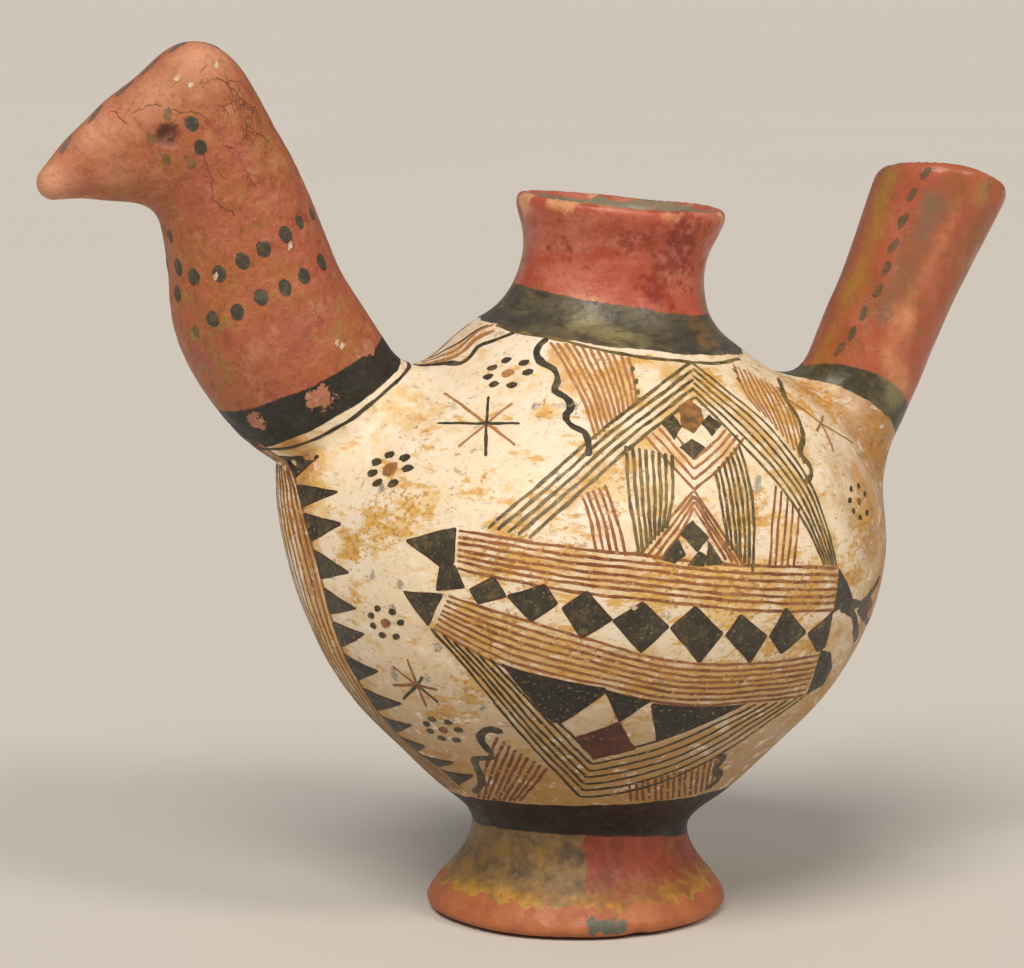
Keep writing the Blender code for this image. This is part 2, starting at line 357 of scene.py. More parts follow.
# Blots of colour: (turn, height) or (x, y, z), then radius and strength. Ochre is iron stain and fired
# clouds; grey is soot; worn is slip rubbed through to the pink clay; pale is slip rubbed thin at the
# beak, crown and lips, and painted highlight on the collar's front and down the tail; deep is thick
# slip and the painted shade of the eyes; cracked is where the clay shrank most in drying.
OCHRE = [
    ((-11, 132), 9, 0.8), ((-18, 117), 7, 0.7), ((20, 121), 9, 0.9), ((40, 85), 10, 1),
    ((30, 87), 10, 0.9), ((75, 147), 12, 1), ((78, 128), 14, 1), ((57, 115), 11, 1), ((50, 104), 9, 0.9),
    ((58, 147), 6, 1), ((-29, 150), 4, 0.8), ((-60, 145), 9, 0.5), ((-41, 130), 7, 0.5),
    ((-61, 133), 7, 0.5), ((66, 90), 13, 1), ((-59, 120), 9, 1), ((-67, 112), 7, 0.9), ((-53, 124), 8, 1),
    ((-42, 75), 7, 0.9), ((-66, 98), 6, 0.8), ((-49, 66), 9, 0.8), ((26, 155), 6, 0.9),
    ((-12, 158), 9, 0.8), ((51, 148), 9, 0.9), ((-60, 52), 9, 0.9), ((-1, 107), 12, 0.9),
    ((-30, 112), 14, 0.9), ((15, 103), 14, 0.9), ((-34, 93), 12, 0.9), ((33, 99), 12, 0.9),
    ((-20, 84), 12, 0.9), ((0, 78), 12, 0.9), ((20, 75), 12, 0.9), ((38, 74), 11, 0.9), ((55, 65), 14, 1),
    ((-30, 44), 12, 0.8), ((10, 41), 12, 0.9), ((-8, 66), 6, 0.7), ((-84, 120), 13, 0.9),
    ((-82, 80), 16, 0.9), ((48, 165), 8, 0.7), ((-80, 158), 8, 0.9), ((100, 120), 16, 1),
    ((110, 90), 18, 0.9), ((140, 130), 14, 0.6), ((165, 110), 16, 0.6), ((200, 90), 20, 0.6),
    ((225, 120), 16, 0.7), ((190, 150), 14, 0.6), ((75, 66), 16, 0.9), ((-113, -8, 186), 5, 0.8),
    ((-108, -14, 168), 7, 0.9), ((-109, -8, 160), 6, 0.9), ((-72, -18, 177), 10, 0.9),
    ((-70, -19, 168), 8, 0.8), ((-102, -19, 172), 5, 0.7), ((-113, -8, 180), 6, 0.9),
    ((-113, 2, 168), 8, 0.8), ((-102, -6, 147), 9, 0.7), ((-93, -19, 199), 5, 0.6),
    ((-83, -23, 171), 6, 0.6), ((-90, -8, 214), 10, 0.6), ((-121, -15, 221), 3, 0.8),
    ((-116, -17, 214), 4, 0.7), ((-16, 8, 176), 8, 1), ((-15, 7, 184), 7, 1), ((-15, 7, 192), 6, 0.8),
    ((37, -9, 174), 8, 1), ((38, -7, 182), 7, 1), ((39, -6, 190), 6, 0.8), ((42, -9, 168), 8, 0.9),
    ((20, 28, 185), 16, 0.6), ((113, -14, 202), 5, 1), ((107, -12, 206), 4, 0.8),
    ((96, 15, 185), 12, 0.6), ((-26, -30, 10), 8, 0.8), ((-38, -15, 10), 8, 1), ((28, -25, 11), 8, 1),
    ((-10, 36, 14), 14, 0.8),
]  # fmt: skip
OCHRE += row((90, -6, 206), (69, -6, 158), 14, 5, 0.9)
GREY = [
    ((23, 129), 5, 0.9), ((52, 138), 5, 0.8), ((-60, 104), 4, 0.7), ((-46, 72), 3, 0.7),
    ((-60, 78), 3, 0.8), ((-114, -5, 178), 3, 0.8), ((-110, -11, 168), 4, 1), ((-108, -9, 161), 4, 0.9),
    ((-102, -11, 150), 4, 0.6), ((-5, -41.5, 4.5), 4, 1.3), ((-1, -41.5, 4), 4, 1.3),
    ((3, -41, 4), 3.5, 1.2), ((-9, -29, 21), 7, 0.8), ((-18, -31, 25), 6, 0.6), ((8, 40, 6), 6, 0.8),
    ((118, 6, 190), 8, 0.6),
]  # fmt: skip
GREY += row((100, -17, 199), (87, -16, 170), 10, 5.5, 0.9)
WORN = [
    ((-77, -22.5, 151.5), 4.4, 1), ((-62, -16.5, 164), 2.8, 1), ((-66, -19.5, 162), 2.2, 0.9),
    ((-92, -13, 145), 3.4, 0.9), ((88, 6, 208), 3, 0.7), ((-72, 20, 158), 4, 0.9),
]  # fmt: skip
PALE = [
    ((-146, -1, 209), 8, 1), ((-132, -5, 222), 9, 0.7), ((-120, -9, 234), 9, 0.6),
    ((-106, -8, 244), 9, 0.9), ((-130, -10, 211), 6, 0.5), ((-14, -3, 201), 5, 1),
    ((-7, -16, 200.5), 5, 1), ((3, -22, 200), 5, 0.8), ((20, -28, 200), 5, 0.5), ((38, -14, 198), 4, 0.6),
    # Of the next row, the three blots 166 to 176 mm up on the collar's front are painted highlight.
    ((-15, 10, 202), 5, 0.8), ((-4, -30, 170), 9, 1), ((4, -33, 166), 8, 0.9), ((-2, -30, 176), 6, 0.3),
    ((40, 12, 197), 5, 0.6), ((10, 33, 200), 6, 0.6), ((95, 14, 208), 5, 0.6), ((115, -13, 205), 4, 0.8),
]  # fmt: skip
# Down the tail's near side runs a narrow row of painted highlight, which widens lower down.
PALE += row((107, -15, 200), (92, -16, 168), 11, 3, 0.6) + row((92, -16, 168), (86, -16, 158), 5, 4, 0.9)
PALE += row((86, -16, 158), (90, -15, 148), 4, 5, 1)
DEEP = [
    ((17, -26, 185), 5, 0.8), ((17, -27, 178), 5, 1), ((23, -26, 193), 7, 1), ((23, -24, 185), 7, 1),
    ((-9, -17, 190), 5, 0.6), ((10, -28, 193), 5, 0.7), ((-117, -15, 222.3), 4.4, 1.3),
    ((-117, 15, 222.3), 4.4, 1.3),
]  # fmt: skip
CRACKED = [
    ((-96, -13, 228), 12, 1), ((-100, -14, 238), 8, 0.9), ((-92, -16, 212), 8, 0.7),
    ((-84, -14, 200), 7, 0.5), ((-112, -14, 230), 8, 0.7), ((-104, -18, 212), 6, 0.7),
    ((-98, 14, 226), 14, 0.9), ((-78, -14, 180), 10, 0.4),
]  # fmt: skip
# A thin ochre wash lies along the belts, up the breast and between the fine lines of both figures.
# Where its rows are heaviest, low on the flank and up the breast, it is partly painted shade.
WASH = [
    ((-27, 162), 6, 1), ((-20, 156), 7, 1), ((-12, 150), 7, 1), ((-6, 157), 7, 1), ((-13, 144), 4, 0.9),
    ((-3, 151), 5, 0.9), ((17, 157), 6, 0.9), ((4, 152), 5, 0.7), ((-9, 144), 5, 0.6),
    ((-20, 133), 4, 0.6), ((30, 146), 6, 0.9), ((34, 135), 6, 0.9), ((37, 124), 6, 0.9),
    ((40, 112), 6, 0.9), ((45, 152), 8, 1), ((43, 145), 7, 1), ((41, 137), 5, 1), ((5, 138), 5, 0.9),
    ((19, 138), 5, 0.9), ((4, 119), 5, 0.9), ((12, 118), 5, 0.9), ((0, 130), 6, 0.8), ((-2, 120), 5, 0.8),
    ((18, 127), 5, 0.8), ((20, 116), 4, 0.8), ((29, 118), 5, 0.7), ((-12, 122), 4, 0.6),
    ((-42, 48), 7, 1), ((-36, 52), 6, 0.9), ((14, 47), 7, 1), ((26, 48), 6, 0.9), ((-30, -10, 165), 4, 1),
    ((-36, -6, 161), 5, 0.9), ((62, 125), 12, 0.8), ((58, 112), 9, 0.8), ((72, 145), 8, 0.8),
    ((78, 128), 12, 0.9), ((66, 100), 9, 0.7), ((-60, 120), 6, 0.4), ((80, 105), 14, 0.8),
]  # fmt: skip
WASH += row((-38, 114), (43, 100), 14, 6.5, 0.9)
WASH += row((-43, 93), (10, 78), 9, 7, 1) + row((10, 78), (46, 74), 7, 7, 1.3)
WASH += row((22, 156), (-34, 120), 13, 4.5, 0.95) + row((27, 156), (41, 108), 11, 4.5, 0.95)
WASH += row((-41, 86), (-18, 48), 9, 5.5, 1.2) + row((-14, 48), (44, 68), 11, 5.5, 1.2)
WASH += row((-80, 138), (-79, 100), 8, 5.5, 1.6) + row((-79, 96), (-71, 42), 10, 5.5, 1.6)


def blots(points, list_of_blots):
    """How strongly a list of blots marks each point: the most that any of them gives it, which falls
    off as a bell curve of its distance in radii."""
    marked = np.zeros(len(points))
    for count in (2, 3):
        some = [blot for blot in list_of_blots if len(blot[0]) == count]
        if some:
            for place, (_, radius, strength) in zip(on_skin([blot[0] for blot in some]), some):
                away = np.linalg.norm(points - place, axis=1) / radius
                marked = np.maximum(marked, strength * np.exp(-(away**2)))
    return marked


def zones(points):
    """The limb that each point belongs to, how far (mm) it lies past the edge of the cream slip,
    how far past the dark band's other edge, and how far (roughly) short of the bare clay inside."""
    x, y, z = points.T
    # The far side is folded onto the near one, with a soft bend at the fold.
    folded = np.column_stack((x, -np.hypot(y, 3), z))
    # Rough boxes that hold the neck, the collar, the tail and the foot
    places = [(x < -30) & (z > 90), (np.hypot(x - 10, y) < 50) & (z > 130), (x > 55) & (z > 100), z < 50]
    limb = np.zeros(len(points), int)
    past_cream, past_band = np.full(len(points), -40.0), np.full(len(points), -60.0)
    for index, (place, (near_edge, far_edge)) in enumerate(zip(places, BANDS.values())):
        past_near = folded @ near_edge[0] - near_edge[1]
        # A limb's slips are worked out from 12 mm short of its band, and its material starts at 5 mm.
        here = place & (past_near > -12)
        limb[here & (past_near > -5)] = index + 1
        past_cream[here] = past_near[here]
        past_band[here] = (folded @ far_edge[0] - far_edge[1])[here]
    collar_lip = above(points, COLLAR_RIM, COLLAR_RIM_FACES)
    rims = np.where(x < 60, collar_lip, above(points, TAIL_RIM, TAIL_RIM_FACES))
    # The clay is bare within 3 mm of the hollow, from 1.4 mm below the lips down.
    from_inside = np.maximum(2 * hollow(points) - 6, np.where(x > -30, rims, -20) + 1.4)
    limb[from_inside < -5] = len(BANDS) + 1
    return limb, past_cream, past_band, from_inside


def build(name, points, faces, field=skin):
    """A piece on these points. Its normals are those of the field, so that all pieces shade as one."""
    mesh = bpy.data.meshes.new(name)
    mesh.from_pydata((points * MM + FOOT).tolist(), [], faces)
    mesh.shade_smooth()
    mesh.normals_split_custom_set_from_vertices(unit(facing(field, points)[1]).tolist())
    piece = bpy.data.objects.new(name, mesh)
    bpy.context.scene.collection.objects.link(piece)
    return piece


def srgb(code):
    """A #RRGGBB colour as the linear values that Blender works in."""
    parts = [int(code[k : k + 2], 16) / 255 for k in (1, 3, 5)]
    return (*(v / 12.92 if v <= 0.04045 else ((v + 0.055) / 1.055) ** 2.4 for v in parts), 1.0)


def add(tree, kind, settings, inputs, output=None):
    """Adds a node of this kind. Inputs go by name or by number, and take a socket or a constant."""
    made = tree.nodes.new("ShaderNode" + kind)
    for label, value in settings.items():
        setattr(made, label, value)
    for label, value in inputs.items():
        if isinstance(label, int):
            socket = made.inputs[label]
        else:
            socket = next(s for s in made.inputs if s.name == label and s.enabled)
        if isinstance(value, bpy.types.NodeSocket):
            tree.links.new(value, socket)
        else:
            socket.default_value = srgb(value) if isinstance(value, str) else value
    if output:
        return made.outputs[output]
    return next(s for s in made.outputs if s.enabled)


def attribute(tree, label, factor=1.0, offset=0.0):
    """One of the piece's marks, times a factor and with an offset."""
    value = add(tree, "Attribute", {"attribute_name": label}, {}, "Fac")
    if factor == 1 and offset == 0:
        return value
    return add(tree, "Math", {"operation": "MULTIPLY_ADD"}, {0: value, 1: factor, 2: offset})


def clouds(tree, size, start, full, seed, most=1.0, detail=5, stretch=(1, 1, 1), push=None, least=0.0):
    """A mask of patches about `size` mm across: `least` where its noise is under `start`, `most` from
    `full` up. A pushed mask spreads where the pushing value is high."""
    places = add(tree, "TexCoord", {}, {}, "Object")
    places = add(tree, "Mapping", {}, {"Vector": places, "Scale": stretch, "Rotation": (0.5, 0.7, 0.3)})
    grain = {"Vector": places, "W": seed, "Scale": 1 / (size * MM), "Detail": detail, "Roughness": 0.6}
    value = add(tree, "TexNoise", {"noise_dimensions": "4D"}, grain, "Fac")
    if push is not None:
        value = add(tree, "Math", {"operation": "ADD"}, {0: value, 1: push})
    limits = {"Value": value, "From Min": start, "From Max": full, "To Min": least, "To Max": most}
    return add(tree, "MapRange", {"interpolation_type": "SMOOTHSTEP"}, limits)


def cut(tree, value, start, full, most=1.0):
    """0 where a value is under `start`, `most` from `full` up, with a short even edge."""
    limits = {"Value": value, "From Min": start, "From Max": full, "To Max": most}
    return add(tree, "MapRange", {"interpolation_type": "SMOOTHSTEP"}, limits)


def total(tree, one, other):
    """The sum of two values."""
    return add(tree, "Math", {"operation": "ADD"}, {0: one, 1: other})


def crackle(tree):
    """Hairline drying cracks round plates a few mm across, open in some patches and most of all
    where the piece's `cracked` mark is strong."""
    places = add(tree, "TexCoord", {}, {}, "Object")
    grain = {"Vector": places, "W": 90, "Scale": 1 / (2.5 * MM), "Detail": 4}
    bend = add(tree, "TexNoise", {"noise_dimensions": "4D"}, grain, "Color")
    reach = (2.4 * MM,) * 3
    places = add(tree, "VectorMath", {"operation": "MULTIPLY_ADD"}, {0: bend, 1: reach, 2: places}, "Vector")
    plates = {"Vector": places, "Scale": 1 / (5.5 * MM)}
    away = add(tree, "TexVoronoi", {"feature": "DISTANCE_TO_EDGE"}, plates, "Distance")
    where = clouds(tree, 6, 0.52, 0.66, 91, push=attribute(tree, "cracked", 0.34, -0.12))
    open_line = cut(tree, away, 0.035, 0.008, 0.6)
    return add(tree, "Math", {"operation": "MULTIPLY"}, {0: open_line, 1: where})


def layered(tree, colour, *layers):
    """A colour with others laid over it in turn: each layer is (how much of it shows, its colour)."""
    for share, other in layers:
        colour = add(tree, "Mix", {"data_type": "RGBA"}, {"Factor": share, "A": colour, "B": other})
    return colour


def fired(name, paint, rough=(0.42, 0.62), relief=0.05, cracks=None):
    """A material of slip on fired clay. `paint` gives its colour; the burnish is uneven, so the
    roughness varies, and rubbing left fine grain, low dents and pits in the surface."""
    material = bpy.data.materials.new(name)
    material.use_nodes = True
    tree = material.node_tree
    surface = tree.nodes["Principled BSDF"]
    tree.links.new(paint(tree), surface.inputs["Base Color"])
    burnish = clouds(tree, 5, 0.35, 0.7, 21, detail=6, least=rough[0], most=rough[1])
    tree.links.new(burnish, surface.inputs["Roughness"])
    surface.inputs["IOR"].default_value = 1.5
    fine, pits = clouds(tree, 0.8, 0.2, 0.8, 22), clouds(tree, 2.2, 0.3, 0.42, 23, most=2.0)
    height = total(tree, total(tree, fine, pits), clouds(tree, 7, 0.3, 0.7, 24, detail=2, most=5.0))
    if cracks:
        height = add(tree, "Math", {"operation": "MULTIPLY_ADD"}, {0: cracks(tree), 1: -4.0, 2: height})
    bump = {"Height": height, "Strength": 1.0, "Distance": relief * MM}
    tree.links.new(add(tree, "Bump", {}, bump), surface.inputs["Normal"])
    return material


# The slips: clays thinned with water and coloured with iron and manganese, brushed on before firing
# and rubbed with a pebble to a low sheen. The pattern of each is a mottle a few mm across.
def cream_slip(tree):
    """Chalky cream slip, mellowed in soft clouds, with streaky yellow-ochre stains, grey grime and
    specks. It browns towards the tail, partly ochre stain and partly painted shade of that side, and
    darkens towards the bottom, partly grime and partly painted shade of the underside. Pale patches
    here and there are painted sheen of the burnish."""
    stain, soot = attribute(tree, "ochre", 0.13), attribute(tree, "grey", 0.16)
    level, streak = (0.8, 0.8, 1.15), (0.5, 0.5, 1.35)
    wash = attribute(tree, "wash", 0.42, -0.26)
    towards_tail_stain_and_shade = total(tree, attribute(tree, "sideways"), clouds(tree, 14, 0.3, 0.7, 9, most=22, detail=7))
    away_from_tail = cut(tree, towards_tail_stain_and_shade, 96, 60, -0.4)
    return layered(
        tree,
        "#FAEBD4",
        (clouds(tree, 22, 0.38, 0.64, 1, most=0.8), "#F6E1BE"),
        (clouds(tree, 8, 0.46, 0.66, 2, most=0.6, stretch=level), "#F2DAB2"),
        (clouds(tree, 8, 0.34, 0.62, 68, most=0.9, detail=8, push=wash), "#E0B16C"),
        # Where the wash is heaviest, low on the flank and up the breast, it turns brown: partly ochre wash,
        # partly painted shade.
        (cut(tree, attribute(tree, "wash"), 0.95, 1.45, 0.8), "#B4783A"),
        (clouds(tree, 9, 0.54, 0.68, 3, most=0.8, detail=10, stretch=level, push=stain), "#EAC47E"),
        (clouds(tree, 3.4, 0.56, 0.66, 4, most=0.85, detail=12, stretch=streak, push=stain), "#DDA94C"),
        (clouds(tree, 1.3, 0.61, 0.70, 5, most=0.85, detail=11, stretch=level, push=stain), "#BE8732"),
        # Browner towards the tail, in broad clouds and dark mottles: partly ochre stain, partly painted
        # shade.
        (cut(tree, towards_tail_stain_and_shade, 60, 98, 0.8), "#AE783A"),
        (clouds(tree, 2.6, 0.50, 0.66, 69, most=0.7, detail=10, push=away_from_tail), "#946330"),
        # Darker towards the bottom: partly grime, partly painted shade of the underside.
        (cut(tree, attribute(tree, "height"), 104, 42, 0.85), "#A0783F"),
        # Pale patches here and there: painted sheen of the burnish.
        (clouds(tree, 4, 0.56, 0.66, 6, most=0.6, detail=8, stretch=level), "#FCF1E2"),
        (clouds(tree, 1.2, 0.58, 0.70, 7, most=0.5, detail=10), "#B0905F"),
        (clouds(tree, 3, 0.60, 0.66, 8, most=0.4, detail=12, stretch=streak), "#94876E"),
        (clouds(tree, 3, 0.60, 0.72, 80, most=0.8, detail=8, push=soot), "#8F8F88"),
        (clouds(tree, 1.6, 0.72, 0.75, 81, most=0.8), "#6E5C40"),
    )


def bare_clay(tree):
    """Unslipped clay inside the vessel and under the foot: dusty grey-brown, sooty in patches."""
    return layered(
        tree,
        "#8E7F66",
        (clouds(tree, 14, 0.4, 0.65, 8), "#78755F"),
        (clouds(tree, 5, 0.55, 0.7, 9), "#A5805F"),
        (clouds(tree, 1.2, 0.58, 0.7, 10, most=0.6), "#5C5149"),
    )


def limb_slip(red, band):
    """The slips of a limb, from the belly outwards: cream, a dark band and red, with bare clay
    inside, and pink clay where they are worn through."""

    def paint(tree):
        waver = clouds(tree, 9, 0.25, 0.75, 11, detail=4, least=-0.4, most=0.4)
        at_band = total(tree, attribute(tree, "past_cream"), waver)
        at_red = total(tree, attribute(tree, "past_band"), waver)
        ragged = clouds(tree, 9, 0.3, 0.7, 10, least=-1, most=1)
        inside = total(tree, attribute(tree, "from_inside"), ragged)
        fray = clouds(tree, 2.2, 0.3, 0.7, 12, least=-0.25, most=0.25)
        frayed = total(tree, attribute(tree, "worn"), fray)
        pink = layered(tree, "#AF7257", (clouds(tree, 2, 0.5, 0.7, 13), "#C99674"))
        return layered(
            tree,
            cream_slip(tree),
            (cut(tree, at_band, -0.15, 0.15), band(tree)),
            (cut(tree, at_red, -0.3, 0.3), red(tree)),
            (cut(tree, frayed, 0.46, 0.54), pink),
            (cut(tree, inside, 0.4, -0.4), bare_clay(tree)),
        )

    return paint


def neck_red(tree):
    """Orange-red slip in clouds, ochre and olive at the throat where it thins, rubbed pale at the beak
    and crown, and painted shade almost black in the dimples of the eyes. It parted in hairlines as it dried."""
    stain = attribute(tree, "ochre", 0.15)
    dimple_shade = layered(tree, "#4A251B", (clouds(tree, 2, 0.4, 0.6, 88), "#70402F"))
    return layered(
        tree,
        "#B06040",
        (clouds(tree, 26, 0.44, 0.58, 14, most=0.8), "#A8652F"),
        (clouds(tree, 14, 0.46, 0.62, 15, most=0.8), "#AC5946"),
        (clouds(tree, 6, 0.50, 0.70, 16, most=0.6, detail=8), "#C98A66"),
        (clouds(tree, 3, 0.50, 0.68, 86, most=0.6, detail=8, stretch=(1, 1, 0.6)), "#8A4429"),
        (attribute(tree, "pale", 0.9), "#E0A07C"),
        (clouds(tree, 5, 0.56, 0.78, 17, most=0.8, detail=8, push=stain), "#9E7838"),
        (clouds(tree, 1.2, 0.52, 0.74, 18, most=0.5, detail=8), "#87432A"),
        (clouds(tree, 0.8, 0.56, 0.74, 19, most=0.5), "#D89C70"),
        (clouds(tree, 2.2, 0.66, 0.74, 20, most=0.8), "#8A7248"),
        (clouds(tree, 1.4, 0.72, 0.75, 21), "#E2C09C"),
        (clouds(tree, 4, 0.50, 0.66, 87, detail=8, push=attribute(tree, "grey", 0.35, -0.3)), "#8B8450"),
        (crackle(tree), "#74402B"),
        # Painted shade, almost black, in the dimples of the eyes.
        (cut(tree, attribute(tree, "deep"), 0.5, 1.0, 0.85), dimple_shade),
    )


def neck_band(tree):
    """Black-green slip, laid on thickly and rubbed grey."""
    return layered(
        tree,
        "#1F1D17",
        (clouds(tree, 7, 0.42, 0.68, 22), "#2D2A22"),
        (clouds(tree, 1.5, 0.50, 0.70, 23, most=0.6, detail=8), "#4C4735"),
        (clouds(tree, 1.2, 0.70, 0.75, 24), "#9C7A5C"),
    )


def collar_red(tree):
    """Brick-red slip with blood-red mottles, fired ochre-brown at the sides and orange at the lip. Just
    above the band at the front it is a little paler, which is painted highlight.
    """
    deep, level = attribute(tree, "deep", 0.24), (0.6, 0.6, 1.2)
    return layered(
        tree,
        "#BE5D45",
        (clouds(tree, 14, 0.46, 0.62, 25, most=0.8), "#B04A30"),
        (clouds(tree, 7, 0.42, 0.66, 26, most=0.85, detail=8, stretch=level), "#CF7E68"),
        (clouds(tree, 6, 0.34, 0.60, 85, detail=7, push=attribute(tree, "ochre", 0.5, -0.28)), "#9A6E40"),
        # Pale at the lip where it is rubbed, and at the front above the band, which is painted highlight.
        (clouds(tree, 5, 0.34, 0.60, 84, detail=7, push=attribute(tree, "pale", 0.5, -0.28)), "#E2A274"),
        (clouds(tree, 2.6, 0.55, 0.76, 27, most=0.85, detail=9, push=deep), "#8C2E20"),
        (clouds(tree, 9, 0.58, 0.74, 28, most=0.6), "#A8703C"),
        (clouds(tree, 1.2, 0.50, 0.74, 29, most=0.45), "#8A3826"),
        (clouds(tree, 1.3, 0.71, 0.76, 30), "#E0B496"),
    )


def collar_band(tree):
    """Olive slip over brown, laid on thinly, and paler at the front, which is painted highlight."""
    return layered(
        tree,
        "#5A5240",
        (clouds(tree, 13, 0.40, 0.60, 31), "#474136"),
        (clouds(tree, 6, 0.46, 0.66, 32, most=0.8, detail=8, stretch=(0.5, 0.5, 1.2)), "#6F674A"),
        # Paler at the front where the pale blots lie: painted highlight.
        (clouds(tree, 7, 0.42, 0.70, 83, detail=7, push=attribute(tree, "pale", 0.34, -0.22)), "#8A8058"),
        (clouds(tree, 6, 0.36, 0.60, 82, detail=8, push=attribute(tree, "ochre", 0.5, -0.3)), "#785B35"),
        (clouds(tree, 2.5, 0.50, 0.66, 33, most=0.7, detail=9, stretch=(0.3, 0.3, 1.5)), "#38342B"),
        (clouds(tree, 1.8, 0.68, 0.76, 34), "#A5875E"),
    )


def tail_red(tree):
    """Orange-red slip, fired ochre up the side that faces the collar, olive-brown up the middle and
    pale beside it, in a streak that is painted highlight."""
    along = (1, 1, 0.5)
    stain, soot = attribute(tree, "ochre", 0.5, -0.28), attribute(tree, "grey", 0.5, -0.28)
    thin = attribute(tree, "pale", 0.45, -0.28)
    return layered(
        tree,
        "#B25C3E",
        (clouds(tree, 14, 0.46, 0.62, 35, stretch=along, most=0.8), "#9A5E32"),
        (clouds(tree, 7, 0.48, 0.66, 36, stretch=along, most=0.9), "#B9694E"),
        (clouds(tree, 9, 0.30, 0.80, 92, detail=7, stretch=along, push=stain), "#B07F3C"),
        (clouds(tree, 9, 0.30, 0.80, 93, detail=7, stretch=along, push=soot), "#87664C"),
        # The streak beside the middle: painted highlight.
        (clouds(tree, 9, 0.30, 0.85, 89, detail=7, stretch=along, push=thin), "#DA9468"),
        (clouds(tree, 4, 0.54, 0.74, 37, most=0.5), "#84704A"),
        (clouds(tree, 1.3, 0.52, 0.74, 38, most=0.45), "#8E4A2C"),
        (clouds(tree, 1.6, 0.72, 0.76, 39), "#DDB18C"),
    )


def tail_band(tree):
    """Olive-black slip, laid on thinly and streaked with brown, paler where the tail's streak of
    painted highlight crosses it.
    """
    return layered(
        tree,
        "#454030",
        (clouds(tree, 7, 0.42, 0.66, 40), "#57523D"),
        # Paler under the tail's streak: painted highlight.
        (clouds(tree, 8, 0.38, 0.60, 94, push=attribute(tree, "pale", 0.4, -0.2)), "#857C58"),
        (clouds(tree, 2, 0.50, 0.68, 41, most=0.7), "#69593B"),
    )


def foot_red(tree):
    """Red slip on one half of the foot and grey-brown on the other. Below them it ran thin, in a
    ragged yellow fringe over the bare orange clay of the edge."""
    side = total(tree, attribute(tree, "sideways"), clouds(tree, 3, 0.3, 0.7, 42, least=-1.2, most=1.2))
    fringe = clouds(tree, 4.5, 0.3, 0.7, 43, detail=9, least=-2, most=2)
    drop = total(tree, attribute(tree, "height", -1, 25.5), fringe)
    ochre = clouds(tree, 5, 0.40, 0.55, 44, push=attribute(tree, "ochre", 0.14, -0.06))
    brown = layered(
        tree,
        "#84663C",
        (clouds(tree, 9, 0.44, 0.62, 45), "#5E4C34"),
        (clouds(tree, 6, 0.48, 0.66, 46, most=0.8), "#96732F"),
        (clouds(tree, 2, 0.50, 0.68, 47, most=0.6, detail=8), "#9B7D58"),
        (clouds(tree, 6, 0.40, 0.60, 95, push=attribute(tree, "ochre", 0.4, -0.25)), "#967224"),
    )
    red = layered(
        tree,
        "#8F3E27",
        (clouds(tree, 12, 0.42, 0.62, 48), "#7C3820"),
        (clouds(tree, 3, 0.46, 0.72, 49, most=0.7), "#A84A30"),
        (clouds(tree, 6, 0.46, 0.72, 44, most=0.75, push=attribute(tree, "ochre", 0.2, -0.1)), "#96662C"),
    )
    bare_edge = layered(
        tree,
        "#B56B3E",
        (clouds(tree, 8, 0.42, 0.66, 50), "#A65A38"),
        (clouds(tree, 1.5, 0.54, 0.72, 51, most=0.5), "#8A4A30"),
    )
    soot = attribute(tree, "grey", 0.5, -0.3)
    return layered(
        tree,
        red,
        (cut(tree, side, -4.2, -6.6), brown),
        (clouds(tree, 5, 0.42, 0.66, 52, most=0.85, detail=8, push=soot), "#4A3C34"),
        (cut(tree, drop, 9.5, 18.5), layered(tree, "#9A7038", (ochre, "#C0903A"))),
        (cut(tree, drop, 16.3, 16.9), bare_edge),
        (clouds(tree, 4, 0.66, 0.78, 52, detail=8, push=attribute(tree, "grey", 0.5, -0.2)), "#5C5E52"),
        (clouds(tree, 1.4, 0.72, 0.75, 53), "#D9BC92"),
    )


def foot_band(tree):
    """A thick dark band under the globe, brown where it is thin."""
    return layered(
        tree,
        "#16120E",
        (clouds(tree, 9, 0.42, 0.60, 54), "#251B18"),
        (clouds(tree, 3, 0.50, 0.68, 55, most=0.8, detail=8), "#3B2F1C"),
    )


materials = {
    "belly": fired("cream slip", cream_slip),
    "neck": fired("red slip of the neck", limb_slip(neck_red, neck_band), relief=0.1, cracks=crackle),
    "collar": fired("red slip of the collar", limb_slip(collar_red, collar_band), rough=(0.30, 0.48)),
    "tail": fired("red slip of the tail", limb_slip(tail_red, tail_band), rough=(0.26, 0.42)),
    "foot": fired("red slip of the foot", limb_slip(foot_red, foot_band)),
    "inside": fired("bare fired clay", bare_clay, rough=(0.75, 0.9), relief=0.25),
}

vessel = build("bird_vessel_clay", body_points, body_quads.tolist(), clay)
limb, past_cream, past_band, from_inside = zones(body_points)
marks = {
    "ochre": blots(body_points, OCHRE),
    "wash": blots(body_points, WASH),
    "grey": blots(body_points, GREY),
    "worn": blots(body_points, WORN),
    "pale": blots(body_points, PALE),
    "deep": blots(body_points, DEEP),
    "past_cream": past_cream,
    "past_band": past_band,
    "cracked": blots(body_points, CRACKED),
    "sideways": body_points[:, 0],
    "height": body_points[:, 2],
    "from_inside": from_inside,
}
for label, values in marks.items():
    mark = vessel.data.attributes.new(label, "FLOAT", "POINT")
    mark.data.foreach_set("value", values.astype(np.float32))
for material in materials.values():
    vessel.data.materials.append(material)
vessel.data.polygons.foreach_set("material_index", limb[body_quads].max(axis=1).astype(np.int32))
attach(vessel, "root")
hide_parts("bird_vessel")

# ---------------------------------------------------------------------------------------------
# The near flank's upper figure: a gable of fine parallel lines over a checkered cross, hatched at
# its sides, with a wavy line down each side. It was drawn with a fine soft brush, in a black slip
# and in a red-brown one.

